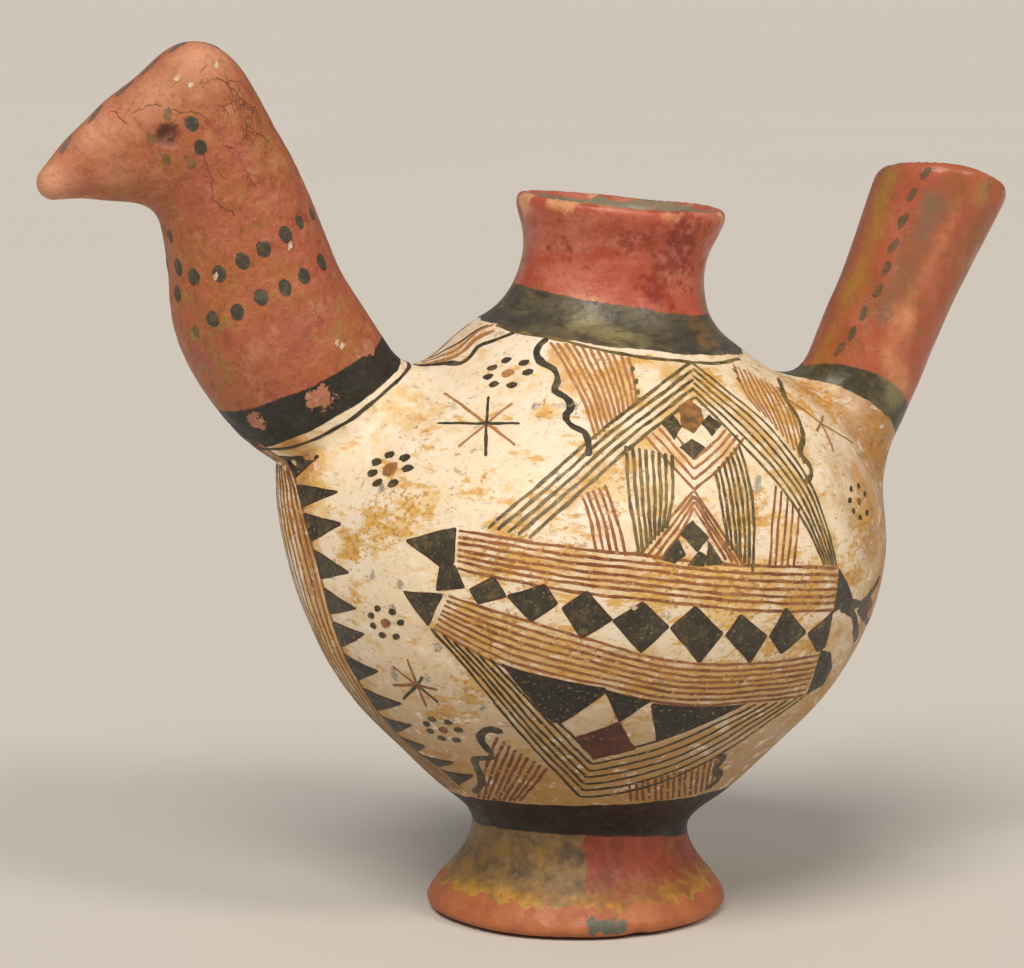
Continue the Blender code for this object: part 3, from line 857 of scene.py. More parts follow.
# The widths (mm) of a line of the fine brush and of the full one. Every stray of the hand is drawn in
# turn from one seeded sequence.
FINE, BOLD = 0.8, 1.9
brush = np.random.default_rng(12)


def unsteady(places, lines, wavelengths):
    """How a hand strays: for each line, a sum of sine waves along it, each of random phase."""
    value = np.zeros((lines, len(places)))
    for wavelength in wavelengths:
        phase = brush.uniform(0, 2 * pi, (lines, 1))
        value += np.sin(2 * pi * places / wavelength / brush.uniform(0.8, 1.25, (lines, 1)) + phase)
    return value / np.sqrt(len(wavelengths))


def resampled(points, places):
    """Points on the smooth curve through others, at these shares of its length."""
    lengths = np.concatenate(([0], np.cumsum(np.linalg.norm(np.diff(points, axis=0), axis=1))))
    return through(np.column_stack((lengths, points)), places * lengths[-1])


def strokes(first, last=None, count=1, width=FINE, sway=0.1, spacing=1.7, wavelengths=(9, 19, 40)):
    """Painted lines: one along each of two curves, and the rest spread evenly between. Each is a
    sheet in two parameters, the way along the line and the way across it, that swells and strays a
    little and narrows at its ends."""
    first = on_skin(first)
    last = first if last is None else on_skin(last)
    length = max(np.linalg.norm(np.diff(curve, axis=0), axis=1).sum() for curve in (first, last))
    tip = 0.5 * width / length
    places = np.concatenate(([0], np.linspace(tip, 1 - tip, max(3, round(length / spacing))), [1]))
    one, other = resampled(first, places), resampled(last, places)
    share = np.linspace(0, 1, count)[:, None, None]
    middle = settle(skin, (one * (1 - share) + other * share).reshape(-1, 3))
    normal = unit(facing(skin, middle)[1]).reshape(count, -1, 3)
    middle = middle.reshape(count, -1, 3)
    across = unit(np.cross(normal, np.gradient(middle, places, axis=1)))
    stray = sway * (unsteady(places * length, count, wavelengths) + brush.normal(0, 0.6, (count, 1)))
    half = 0.5 * width * (1 + 0.2 * unsteady(places * length, count, (5, 11, 27)))
    half[:, [0, -1]] *= 0.45
    edges = [middle + across * (stray + side * half)[..., None] for side in (-1, 1)]
    points = np.stack(edges, axis=2).reshape(-1, 3)
    start = np.arange(count * len(places)).reshape(count, -1)[:, :-1].ravel() * 2
    return points, np.stack((start, start + 2, start + 3, start + 1), axis=1)


def filled(corners, wobble=0.16):
    """A painted patch with straight sides: a sheet in two parameters, the way round its edge and the
    way out from its middle."""
    corners = on_skin(corners)
    loop = np.vstack((corners, corners[:1]))
    lengths = np.concatenate(([0], np.cumsum(np.linalg.norm(np.diff(loop, axis=0), axis=1))))
    places = np.union1d(np.arange(0, lengths[-1], 1.5), lengths[:-1])
    edge = np.stack([np.interp(places, lengths, column) for column in loop.T], axis=1)
    centre = corners.mean(axis=0)
    spokes = edge - centre
    spokes += unit(spokes) * (wobble * unsteady(places, 1, (3, 7, 13)).ravel())[:, None]
    facing_out = facing(skin, centre[None])[1][0]
    if np.cross(spokes, np.roll(spokes, -1, axis=0)).sum(axis=0) @ facing_out < 0:
        spokes = spokes[::-1]
    rings = max(2, round(np.linalg.norm(spokes, axis=1).max() / 1.4))
    shares = np.arange(1, rings + 1)[:, None, None] / rings
    points = np.vstack((centre[None], (centre + shares * spokes).reshape(-1, 3)))
    count = len(spokes)
    here = 1 + np.arange(rings * count).reshape(rings, count)
    beside = np.roll(here, -1, axis=1)
    fan = np.stack((here[0], beside[0], np.zeros(count, int)), axis=1)
    quads = np.stack((here[:-1], here[1:], beside[1:], beside[:-1]), axis=-1).reshape(-1, 4)
    return points, fan.tolist() + quads.tolist()


def ovals(centres, long, wide, lean, jagged=0.08):
    """Brush dabs `long` by `wide` mm, that lean this many degrees up from level. Each is a fan round
    its centre, whose edge is an ellipse roughened at twelve places."""
    centres = on_skin(centres)
    count = len(centres)
    normal = unit(facing(skin, centres)[1])
    right = unit(np.cross([0.0, 0.0, 1.0], normal))
    up = np.cross(normal, right)
    lean = np.radians(lean + brush.normal(0, 6, count))[:, None]
    way, side = right * np.cos(lean) + up * np.sin(lean), up * np.cos(lean) - right * np.sin(lean)
    turns = np.arange(12) * pi / 6
    size = (1 + brush.normal(0, jagged, (count, 12)))[..., None]
    rim = way[:, None] * (long / 2 * np.cos(turns))[:, None]
    rim = rim + side[:, None] * (wide / 2 * np.sin(turns))[:, None]
    points = np.concatenate((centres[:, None], centres[:, None] + rim * size), axis=1).reshape(-1, 3)
    ring = np.arange(12)
    hub = np.broadcast_to((np.arange(count) * 13)[:, None], (count, 12))
    return points, np.stack((hub, hub + 1 + ring, hub + 1 + (ring + 1) % 12), axis=-1).reshape(-1, 3)


def painted(name, material, lift, *marks):
    """One piece of all these marks, laid `lift` mm off the skin. A mark that was painted over another
    is lifted a little more: red lines, then edgings, black lines, and last the filled black shapes."""
    points, faces, passed = [], [], 0
    for mark_points, mark_faces in marks:
        points.append(mark_points)
        faces.extend(np.add(face, passed).tolist() for face in mark_faces)
        passed += len(mark_points)
    piece = build(name, settle(skin, np.vstack(points), lift), faces)
    piece.data.materials.append(material)
    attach(piece, "root")


def upward(tree, start, full, most=1.0):
    """0 below one height (mm above the foot) and `most` from another up, or the other way round."""
    height = add(tree, "SeparateXYZ", {}, {"Vector": add(tree, "TexCoord", {}, {}, "Object")}, "Z")
    return cut(tree, height, low.z + start * MM, low.z + full * MM, most)


def thin_black_colour(tree):
    """Black slip drawn in thin lines: olive-brown where it is thin, and rubbed away in specks. Below
    the belts it is much darker, partly thicker slip and partly painted shade of the lower flank."""
    return layered(
        tree,
        "#756338",
        (clouds(tree, 8, 0.44, 0.60, 61), "#54472A"),
        (clouds(tree, 4, 0.50, 0.64, 62, most=0.85), "#977C42"),
        # Darker below the belts: partly thicker slip, partly painted shade.
        (upward(tree, 104, 84, 0.9), "#2C2415"),
        (clouds(tree, 1.3, 0.56, 0.68, 63, most=0.8), "#B3985F"),
    )


def dark_line_colour(tree):
    """Black slip from a fuller brush, olive only in places."""
    return layered(
        tree,
        "#453B26",
        (clouds(tree, 6, 0.44, 0.60, 66), "#332B1D"),
        (clouds(tree, 4, 0.52, 0.66, 67, most=0.8), "#6E5E38"),
        (clouds(tree, 1.3, 0.60, 0.70, 68, most=0.7), "#A58C58"),
    )


def thick_black_colour(tree):
    """Black-green slip that fills a shape, with brush streaks and pale specks, darker below the belts
    as painted shade of the lower flank.
    """
    return layered(
        tree,
        "#332D21",
        (clouds(tree, 6, 0.42, 0.64, 64, stretch=(1, 1, 0.6)), "#474030"),
        (clouds(tree, 3, 0.48, 0.68, 65, most=0.8, detail=8), "#62543A"),
        (clouds(tree, 6, 0.56, 0.66, 66, most=0.8, detail=9), "#7C6A44"),
        # Darker below the belts: painted shade.
        (upward(tree, 92, 76, 0.9), "#18140D"),
        (clouds(tree, 0.9, 0.55, 0.70, 67, most=0.75, detail=8), "#9A8862"),
        (clouds(tree, 0.5, 0.62, 0.72, 60, most=0.4), "#C4B695"),
    )


def olive_colour(tree):
    """Black slip spread thinly over a check: olive and brown where the cream shows through."""
    return layered(
        tree,
        "#50462E",
        (clouds(tree, 5, 0.44, 0.62, 64), "#3D3627"),
        (clouds(tree, 3, 0.50, 0.66, 65, most=0.85, detail=8), "#7A6840"),
        (clouds(tree, 1.2, 0.58, 0.70, 67, most=0.8), "#A9925F"),
    )


def brown_check_colour(tree):
    """Red-brown slip spread thinly over a check: tan where the cream shows through."""
    return layered(
        tree,
        "#8E6034",
        (clouds(tree, 3, 0.42, 0.62, 65, detail=8), "#A8763F"),
        (clouds(tree, 5, 0.5, 0.64, 66), "#6E5230"),
    )


def red_brown_colour(tree):
    """Red-brown slip in thin lines: ochre where it is thin, and paler towards the top. Low on the
    flank it is darker, which is painted shade.
    """
    return layered(
        tree,
        "#9C6238",
        (clouds(tree, 7, 0.44, 0.60, 68), "#80482A"),
        (clouds(tree, 4, 0.50, 0.66, 69, most=0.85), "#B67D46"),
        (upward(tree, 122, 146, 0.55), "#C08A52"),
        # Darker low on the flank: painted shade.
        (upward(tree, 84, 60, 0.7), "#5E3016"),
        (clouds(tree, 1.4, 0.56, 0.68, 70, most=0.8), "#D9AE74"),
    )


def deep_red_colour(tree):
    """Dark red slip that fills a shape."""
    return layered(
        tree,
        "#48200F",
        (clouds(tree, 5, 0.42, 0.66, 71), "#602B16"),
        (clouds(tree, 1.4, 0.62, 0.72, 72, most=0.8), "#B08060"),
    )


thin_black = fired("thin black slip", thin_black_colour)
dark_line = fired("black slip in lines", dark_line_colour)
thick_black = fired("thick black slip", thick_black_colour, rough=(0.38, 0.55))
red_brown = fired("red-brown slip", red_brown_colour)
deep_red = fired("dark red slip", deep_red_colour, rough=(0.38, 0.55))

# The outermost and innermost lines of the gable's two slopes
gable_left = [(25.9, 159.8), (8.8, 154.9), (-4.9, 148.9), (-15.1, 142.5), (-26, 131.9), (-35.7, 120.6)]
gable_left_inner = [(19.1, 151.6), (4.2, 145.9), (-7.8, 138.6), (-18.2, 128.8), (-27.3, 118.4)]
gable_right = [
    (25.9, 159.8), (32.3, 152.7), (35.8, 145.3), (38.1, 136.5), (39.7, 127.7), (40.7, 117), (42.3, 105.6),
]  # fmt: skip
gable_right_inner = [(19.1, 151.6), (24.3, 140.9), (28.8, 132), (32.7, 123), (35.7, 114.3), (38.5, 106.6)]
right_wave = [
    (69.8, 152), (53.3, 147.9), (49.4, 142.9), (45.2, 138.5), (41.2, 135.5), (42, 132.2), (41.4, 130.5),
    (38.1, 128.7),
]  # fmt: skip
painted(
    "upper_figure_black",
    thin_black,
    0.10,
    strokes(gable_left, gable_left_inner, 5, 1.0),
    strokes(gable_right, gable_right_inner, 6, 0.9),
    strokes([(-6.2, 141), (-6.4, 127.9), (-5.1, 113.7)], [(4.9, 138.5), (2.8, 127.6), (0.8, 120.5)], 8, 0.9),
    strokes([(14.6, 134), (13.9, 124.3), (14.1, 115)], [(23.8, 140), (22.3, 128.6), (19.3, 107.6)], 7, 0.9),
    strokes(right_wave, width=1.7),
    ovals([(0.6, 159), (0.8, 156), (0.5, 153.5), (0.2, 151.5)], 2.4, 1.2, 70),
    ovals([(44.2, 156.3), (41.8, 154.2)], 2.2, 1.1, 80),
)
left_wave = [
    (-34.5, 166.2), (-37.3, 164.6), (-37.5, 162.9), (-33.9, 160.5), (-27.8, 158.6), (-26.2, 155.7),
    (-27, 154.4), (-21.5, 151.6), (-20.7, 150), (-21.9, 148.1), (-20.2, 146), (-16.4, 144),
    (-15.5, 141.2), (-15.6, 138.7),
]  # fmt: skip
low_left_wave = [
    (-36.6, 62.8), (-40.5, 63), (-43.2, 60.5), (-42.9, 56.5), (-42.5, 54.2), (-48.8, 52.3), (-50.6, 48),
    (-52.3, 44.2), (-60.8, 39.4),
]  # fmt: skip
low_right_wave = [(27, 52.3), (30.3, 50.5), (30.2, 47.5), (36.1, 44), (37.4, 42.1), (34.1, 40)]
painted(
    "wavy_lines",
    dark_line,
    0.11,
    strokes(left_wave, width=BOLD),
    strokes(low_left_wave, width=2.2),
    strokes(low_right_wave, width=2.2),
)
painted(
    "upper_figure_red",
    red_brown,
    0.08,
    strokes(
        [(-33, 165.4), (-24.5, 160.1), (-16.5, 150.6), (-13.6, 142.6)],
        [(0, 162), (0.2, 156.4), (-0.7, 150.9)],
        11,
    ),
    strokes([(47.2, 157.9), (39.5, 151.4), (37.6, 146.6)], [(58, 151), (48, 143.4), (40.4, 133)], 9),
    strokes([(-0.6, 143), (4.1, 136.1), (8.3, 129.7)], [(5.6, 145.8), (8.2, 141.9), (10.3, 137.2)], 4),
    strokes([(26.4, 141.2), (16.8, 135.1), (8.3, 129.7)], [(22.4, 143.5), (16.3, 140.3), (10.3, 137.2)], 4),
    strokes([(-5.1, 113.7), (1, 122.1), (8.3, 129.7)], [(-0.6, 112.5), (3.3, 118.2), (7.5, 125.3)], 4),
    strokes([(17.5, 109.4), (12.4, 120.1), (8.3, 129.7)], [(13.4, 111.4), (9.8, 120), (7.5, 125.3)], 4),
    strokes(
        [(-16.8, 129.3), (-15, 123.1), (-13.8, 115.5)], [(-11.9, 131.7), (-9.8, 124.3), (-7.8, 113.8)], 5
    ),
    strokes([(29, 129.1), (25.7, 120.5), (23.4, 108.7)], [(33.8, 122.6), (31.5, 115.8), (29.6, 107.2)], 5),
)
painted(
    "upper_figure_brown",
    fired("thin brown slip", brown_check_colour),
    0.11,
    filled([(11.8, 149.8), (16.4, 151), (18.8, 149), (17.4, 146), (12.5, 143.3), (9.8, 145)]),
)
painted(
    "upper_figure_checks",
    fired("olive slip", olive_colour),
    0.12,
    filled([(4.5, 146.1), (9, 147.9), (9.9, 145), (6.7, 141.9)]),
    filled([(16, 145.6), (20, 147.3), (21.9, 144.8), (17.3, 142.2)]),
    filled([(7.4, 140.1), (11.5, 142.2), (14.1, 139.8), (10.1, 137)]),
    filled([(6.8, 122.4), (10, 117.5), (7.1, 113.9), (3.7, 118.9)]),
    filled([(-0.6, 112.6), (3.2, 118.2), (4.5, 113.5), (2.3, 111.3)]),
    filled([(5, 110.8), (7.5, 114.4), (9.6, 112.6), (8.4, 110.2)]),
    filled([(9.7, 117), (12.9, 110.5), (8.9, 110.3)]),
)

# ---------------------------------------------------------------------------------------------
# The two belts of red-brown lines round the flank, and the row of black diamonds between them. The
# painter edged the diamonds with red first, and the red shows at their points.

belt_top = [
    (-41.6, 119.7), (-33, 118.5), (-23, 116.7), (-13, 115.2), (-5.1, 114.2), (5.5, 111.8), (16.6, 109.7),
    (28.8, 107.9), (43, 104.9),
]  # fmt: skip
belt_foot = [
    (-41.3, 109.8), (-32.6, 107.8), (-24.8, 106.2), (-17, 104.4), (-8.4, 103), (3.3, 100.8), (14.4, 98.3),
    (28.2, 95.6), (43.5, 93.3),
]  # fmt: skip
low_belt_top = [
    (-43.2, 102.1), (-34.7, 99), (-26.1, 95.8), (-14.7, 91.1), (-3.9, 86.5), (9.3, 82.9), (22.4, 81.3),
    (31.5, 80.7), (44.6, 79.8),
]  # fmt: skip
low_belt_foot = [
    (-47, 92.7), (-40.8, 88), (-34.6, 84), (-21.6, 79), (-11.8, 76.2), (4.2, 71.5), (14.5, 70.1),
    (26.3, 69.4), (45.7, 67.8),
]  # fmt: skip
diamonds = [
    [(-38.7, 104.2), (-33.9, 107.8), (-31.4, 103.1), (-37.1, 100.7)],
    [(-31.1, 103.1), (-23.9, 106.3), (-21.4, 101.2), (-26.6, 96.3)],
    [(-20.5, 100.1), (-15.7, 104.6), (-10.5, 96.8), (-16.7, 91.8)],
    [(-10.4, 96.6), (-4.5, 101.6), (1.2, 94.4), (-4.2, 87.2)],
    [(1.7, 94.1), (6.6, 99.5), (13.4, 91.4), (9.1, 83.5)],
    [(14.3, 90.8), (17.1, 96.1), (24.6, 89.2), (22, 81.7)],
    [(25.5, 88.8), (28.3, 96.4), (35.9, 88), (30.2, 83.2)],
    [(36.8, 87.6), (43.1, 92.7), (45, 82.3), (42.4, 81.4)],
]
# The black shapes that close the row at the breast, and where it runs out by the tail
left_ends = [
    [(-52.7, 115.7), (-42.3, 120.2), (-42.1, 110.9), (-44.8, 110.2)],
    [(-44.8, 110.2), (-41.7, 110.3), (-39.8, 104.7), (-45.6, 103.3)],
    [(-52.8, 102.1), (-44.4, 102.3), (-48.2, 93.3)],
]
right_ends = [
    [(43.3, 104.8), (50.5, 94.6), (47.5, 93.6), (43.2, 92.2)],
    [(43.6, 81.6), (48, 80), (53.4, 74.3), (53.9, 69.1), (47.4, 67.6), (45.4, 74.6)],
]


def outlined(shapes):
    """A thin line along each side of each shape."""
    sides = [pair for corners in shapes for pair in zip(corners, corners[1:] + corners[:1])]
    return [strokes(side, width=0.6, sway=0.08) for side in sides]


row_shapes = diamonds + left_ends
painted(
    "belts",
    red_brown,
    0.08,
    strokes(belt_top, belt_foot, 7, FINE, 0.12),
    strokes(low_belt_top, low_belt_foot, 8, FINE, 0.12),
)
painted("belt_edging", deep_red, 0.10, *outlined(row_shapes))
painted(
    "diamonds",
    thick_black,
    0.13,
    *(filled(shape) for shape in row_shapes + right_ends),
    strokes([(48, 94.4), (55, 92.5), (60, 94), (66, 97)], width=2.2),
    strokes([(46, 93.6), (52.4, 90), (58, 84), (62, 80)], width=2.6),
    strokes([(56, 91), (63, 86), (70, 84), (72, 90)], width=1.6),
)
painted("knot", deep_red, 0.12, filled([(54, 90.5), (60, 93.5), (65, 90), (61, 85.5)]))

# ---------------------------------------------------------------------------------------------
# The lower figure: the gable turned over, a V of parallel lines that holds a row of checks, with
# hatched corners against the foot.

v_left = [(-47.6, 92.6), (-40.7, 80.8), (-34.6, 68), (-27.9, 54.7), (-17.9, 41.2)]
v_left_inner = [(-33.4, 83.8), (-29.1, 77), (-24.6, 69.8), (-19.3, 62.3), (-13.9, 55.2)]
v_right = [(-17.9, 41.2), (-3.8, 42.3), (8.3, 44.6), (19.3, 48.3), (28, 53.5), (36.2, 60.8), (46.7, 67.5)]
v_right_inner = [(-13.9, 55.2), (-5.2, 57.3), (2.7, 59.5), (13.6, 64.3), (24.7, 69)]
# Three black checks fill the V's mouth and meet at their points, above one of dark red.
v_checks = [
    [(-32.8, 83.3), (-11.5, 77), (-11.8, 75.4), (-21.9, 66.5), (-24, 67)],
    [(-11.5, 76.4), (-0.9, 72.9), (-7.7, 66.8)],
    [(-0.4, 71.7), (23.5, 68.9), (11.5, 62.9), (3.2, 59.8)],
]
v_red = [(-18.6, 62), (-7.7, 66.8), (-2.2, 57.4), (-13.8, 54.4)]
painted(
    "lower_figure_black",
    thin_black,
    0.10,
    strokes(v_left, v_left_inner, 7),
    strokes(v_right, v_right_inner, 7),
)
painted(
    "lower_figure_red",
    red_brown,
    0.08,
    strokes(
        [(-38.6, 60.9), (-47, 49.6), (-61, 37.6)], [(-27.6, 51.2), (-33.5, 44.8), (-41.8, 38.8)], 9, 0.9
    ),
    strokes([(-1.2, 45.4), (0, 42.3), (1.5, 39.4)], [(26.8, 51.4), (31.5, 45.4), (37.9, 39.6)], 15),
)
painted("lower_figure_edging", deep_red, 0.11, *outlined(v_checks), filled(v_red))
painted("lower_figure_checks", thick_black, 0.13, *(filled(shape) for shape in v_checks))

# ---------------------------------------------------------------------------------------------
# Stars and rosettes, scattered on the open cream. A star is a few crossing strokes, black and red,
# and a rosette is a red dab with black petals round it.

star_black = [
    [(-47.9, 151.7), (-43, 145.7), (-39.6, 138.1)], [(-57, 144.8), (-43, 145.7), (-33.9, 146.1)],
    [(-60.7, 69.8), (-54.6, 75.1), (-52.3, 77.9)], [(-54.6, 75.1), (-50.5, 70.5)],
]  # fmt: skip
star_red = [
    [(-63.8, 151.5), (-43, 145.7), (-33.3, 141)], [(-38.8, 150.6), (-43, 145.7), (-47.6, 139.9)],
    [(-59.6, 79.7), (-54.6, 75.1)], [(-55, 82.7), (-54.6, 75.1), (-54.4, 68.6)],
    [(-61.9, 73.6), (-54.6, 75.1), (-49.5, 74.4)], [(54.3, 148), (58.6, 141.4), (68.8, 134.1)],
    [(64, 142.6), (58.6, 141.4), (53.1, 139.9)], [(58.6, 141.4), (54.1, 134.3)],
]  # fmt: skip
PETAL_TURNS = np.array([15, 60, 118, 165, 205, 250, 305])
# (turn, height, how far out the petals lie, a petal's length, the middle dab's length)
rosettes = [
    (-45.4, 157.5, 4.8, 3.2, 3.8), (-62.1, 133, 4.8, 3.5, 5.2), (-58.3, 92.4, 4.3, 2.7, 3.6),
    (-53.1, 61.4, 4.3, 3.0, 3.2), (55.6, 120.7, 4.6, 2.3, 2.6), (212, 150, 4.8, 3.0, 4.0),
    (160, 62, 4.4, 2.4, 3.4),
]  # fmt: skip


def other_side(stops):
    """Places on the far flank that mirror places on the near one."""
    return [(-180 - turn, height) for turn, height in stops]


def about(turn, height, offsets):
    """Points on the skin at level and upright offsets (mm) from one of its places."""
    centre = on_skin([(turn, height)])
    normal = unit(facing(skin, centre)[1])
    right = unit(np.cross([0.0, 0.0, 1.0], normal))
    up = np.cross(normal, right)
    offsets = np.asarray(offsets, dtype=float)
    return settle(skin, centre + offsets[:, :1] * right + offsets[:, 1:] * up)


# Each arm of a star is drawn on the near flank and then on the far one.
black_marks = [strokes(side(arm), width=0.85) for arm in star_black for side in (list, other_side)]
red_marks = [strokes(side(arm), width=0.8) for arm in star_red for side in (list, other_side)]
for turn, height, reach, petal, heart in rosettes:
    red_marks.append(ovals(about(turn, height, [(0, 0)]), heart, heart * 0.8, 20))
    angles = np.radians(PETAL_TURNS + brush.uniform(-7, 7))
    petals = np.column_stack((1.25 * np.cos(angles), np.sin(angles))) * reach
    black_marks.append(ovals(about(turn, height, petals), petal, petal * 0.68, 15))
painted("scattered_black", dark_line, 0.12, *black_marks)
painted("scattered_red", red_brown, 0.10, *red_marks)

# ---------------------------------------------------------------------------------------------
# The breast: an upright band of red-brown lines from the neck down to the foot, with a saw edge of
# black teeth along both sides, each edged with red.

tooth_roots = [
    (-84.5, 137.5), (-84.2, 133.8), (-81.7, 126.1), (-79.5, 118.5), (-77.2, 109), (-75.3, 98.8),
    (-75, 89.2), (-75.1, 79.9), (-74.4, 70.1), (-75.1, 61.1), (-74.5, 55), (-72.3, 49.7), (-68.2, 45.6),
    (-65.7, 39.8),
]  # fmt: skip
tooth_tips = [
    (-78.1, 134.6), (-72.5, 125.6), (-70.1, 117.4), (-66.8, 105), (-65.9, 95.2), (-65.4, 87.9),
    (-64.8, 77.3), (-62.1, 68.2), (-63.3, 61.2), (-65.2, 54), (-58.3, 50), (-54, 46.3),
]  # fmt: skip
teeth = []
# A tooth's foot ends three quarters of the way down to the next one's.
for upper, lower, tip in zip(tooth_roots[1:], tooth_roots[2:], tooth_tips):
    teeth.append([upper, tip, (lower[0] * 0.75 + upper[0] * 0.25, lower[1] * 0.75 + upper[1] * 0.25)])
teeth += [other_side(tooth) for tooth in teeth]
painted("breast_lines", red_brown, 0.08, strokes(tooth_roots, other_side(tooth_roots), 14, 0.95, 0.2))
painted("breast_edging", deep_red, 0.10, *outlined(teeth))
painted("breast_teeth", thick_black, 0.13, *(filled(tooth) for tooth in teeth))

# ---------------------------------------------------------------------------------------------
# The lines that frame the dark bands of the neck and the collar: a thin line of cream is left along
# each band's edge, and a fine black line runs below it. Loose streaks join the two.


def mirrored(places):
    """The same places on the far side, mirrored in the middle plane."""
    return [(x, -y, z) for x, y, z in places]


neck_frame = [
    (-92, -2, 135), (-89.9, -8.2, 135.7), (-84.2, -14.6, 136.8), (-76.7, -19, 140.3),
    (-68.7, -20.4, 144.6), (-61.4, -19.1, 149.7), (-55, -15.1, 153.6), (-50.2, -8.7, 156.3),
    (-48.6, -2, 157),
]  # fmt: skip
collar_frame = [
    (-25.5, -11, 168), (-21.9, -19.9, 167.3), (-16.9, -26, 166.7), (-12.4, -30.4, 166),
    (-2.9, -36.7, 163.7), (7.6, -39.3, 161.8), (16.1, -39, 160.7), (22.8, -37.6, 159.8),
    (32, -33.2, 158.6), (41, -24.5, 159.2),
]  # fmt: skip
dark_streak = [
    (-21.1, -19.7, 167.7), (-23.6, -19.3, 166.6), (-28.3, -17.3, 164.5), (-31.8, -15.3, 162.7),
    (-33.8, -16.4, 160.7), (-36.1, -16.3, 158.9), (-39.6, -10.4, 158), (-42.2, -6.5, 157.2),
    (-47, -2, 156.6),
]  # fmt: skip
red_streak = [
    (-26.6, -13.5, 166.9), (-31.4, -11, 164.5), (-34.5, -11.8, 161.8), (-37.1, -11, 159.8),
    (-40.2, -6.8, 158.3), (-45, -2, 157),
]  # fmt: skip
outer_streak = [
    (-27, -8.4, 168), (-30.3, -6.6, 166.2), (-34.1, -5.4, 163.3), (-37.4, -1, 160.6), (-42, 4, 158),
]  # fmt: skip
painted(
    "frame_lines",
    dark_line,
    0.11,
    strokes(neck_frame + mirrored(neck_frame[::-1]), width=1.0),
    strokes(dark_streak, width=1.6),
    strokes(outer_streak, width=1.0),
)
painted(
    "collar_lines",
    thin_black,
    0.11,
    strokes(collar_frame, width=1.1),
    strokes(mirrored(collar_frame), width=1.1),
)
painted(
    "collar_streaks",
    red_brown,
    0.09,
    strokes(red_streak, width=1.9),
    strokes([(x + 1.2, y + 3.6, z + 0.4) for x, y, z in red_streak], width=1.2),
    strokes([(-28.5, 5, 166), (-30, 6, 165), (-36, 7, 161), (-45, 5, 158)], width=1.6),
)

# ---------------------------------------------------------------------------------------------
# The head and neck carry black dabs: a ring of dots round each eye, two rows for a necklace, and
# grey ones along the crest. The clay dried into fine cracks below the crest and at the nape. Lime in
# the clay burst in white specks, and the ground left a bloom of salt on the flank.

necklace = [
    (-113.1, -7.4, 186.1), (-109.7, -12.9, 183.9), (-103.7, -17.9, 185), (-97.6, -20.1, 188.6),
    (-91.8, -20.1, 191.7), (-85.6, -18.4, 195.1),
]  # fmt: skip
second_row = [
    (-113.3, -6.2, 178.7), (-105.7, -17.3, 172.9), (-99.5, -20.9, 175), (-93.1, -22.1, 179),
    (-86.5, -21.6, 181.2), (-80.7, -19.4, 184.1), (-74.8, -14.2, 187.2),
]  # fmt: skip
nape_dots = [
    (-81.1, -15.2, 198.3), (-76.5, -9.4, 199.8), (-114.9, -5.6, 194.4), (-114, 2, 186), (-80, 12, 199),
    (-86, 18, 196),
]  # fmt: skip
far_necklace = mirrored(necklace[1:5] + second_row[1:])
eye_dots = [(-110.5, -17, 225.4), (-108.2, -17.5, 218.9)]
eye_dots += mirrored(eye_dots)
faint_dots = [(-116.6, -15.2, 227.9), (-110.7, -16.8, 214.8), (-117.2, -15.3, 215.8), (-121.2, -14.8, 221.2)]
faint_dots += mirrored(faint_dots) + [(-109.4, -12.2, 168.9)]


def neck_dab_colour(tree):
    """Black-green dabs over red, thin enough in places for the red to show."""
    return layered(
        tree,
        "#40392F",
        (clouds(tree, 3, 0.44, 0.62, 73), "#57503F"),
        (clouds(tree, 1.4, 0.54, 0.68, 74, most=0.8), "#84603F"),
    )


def faint_dab_colour(tree):
    """Black-green dabs worn almost to the red."""
    return layered(tree, "#6A5A38", (clouds(tree, 2, 0.40, 0.60, 96), "#93603A"))


def crest_dab_colour(tree):
    """Grey dabs rubbed thin, with the red showing through."""
    return layered(tree, "#6E655C", (clouds(tree, 2, 0.45, 0.65, 78), "#93705C"))


def crack_colour(tree):
    """The dark red of a crack's shaded depth."""
    return layered(tree, "#6C3A27", (clouds(tree, 1.5, 0.45, 0.65, 75), "#94543A"))


def salt_bloom_colour(tree):
    """A crust of salt: dull white, broken and greyed by dirt."""
    return layered(
        tree,
        "#B3A69A",
        (clouds(tree, 1.5, 0.45, 0.6, 97), "#D8CBB8"),
        (clouds(tree, 1, 0.5, 0.6, 98), "#8B7B75"),
    )


def lime_colour(tree):
    """Chalky white lime, stained by the slip round it."""
    return layered(tree, "#DCC7AC", (clouds(tree, 1, 0.45, 0.6, 76), "#C79E7C"))


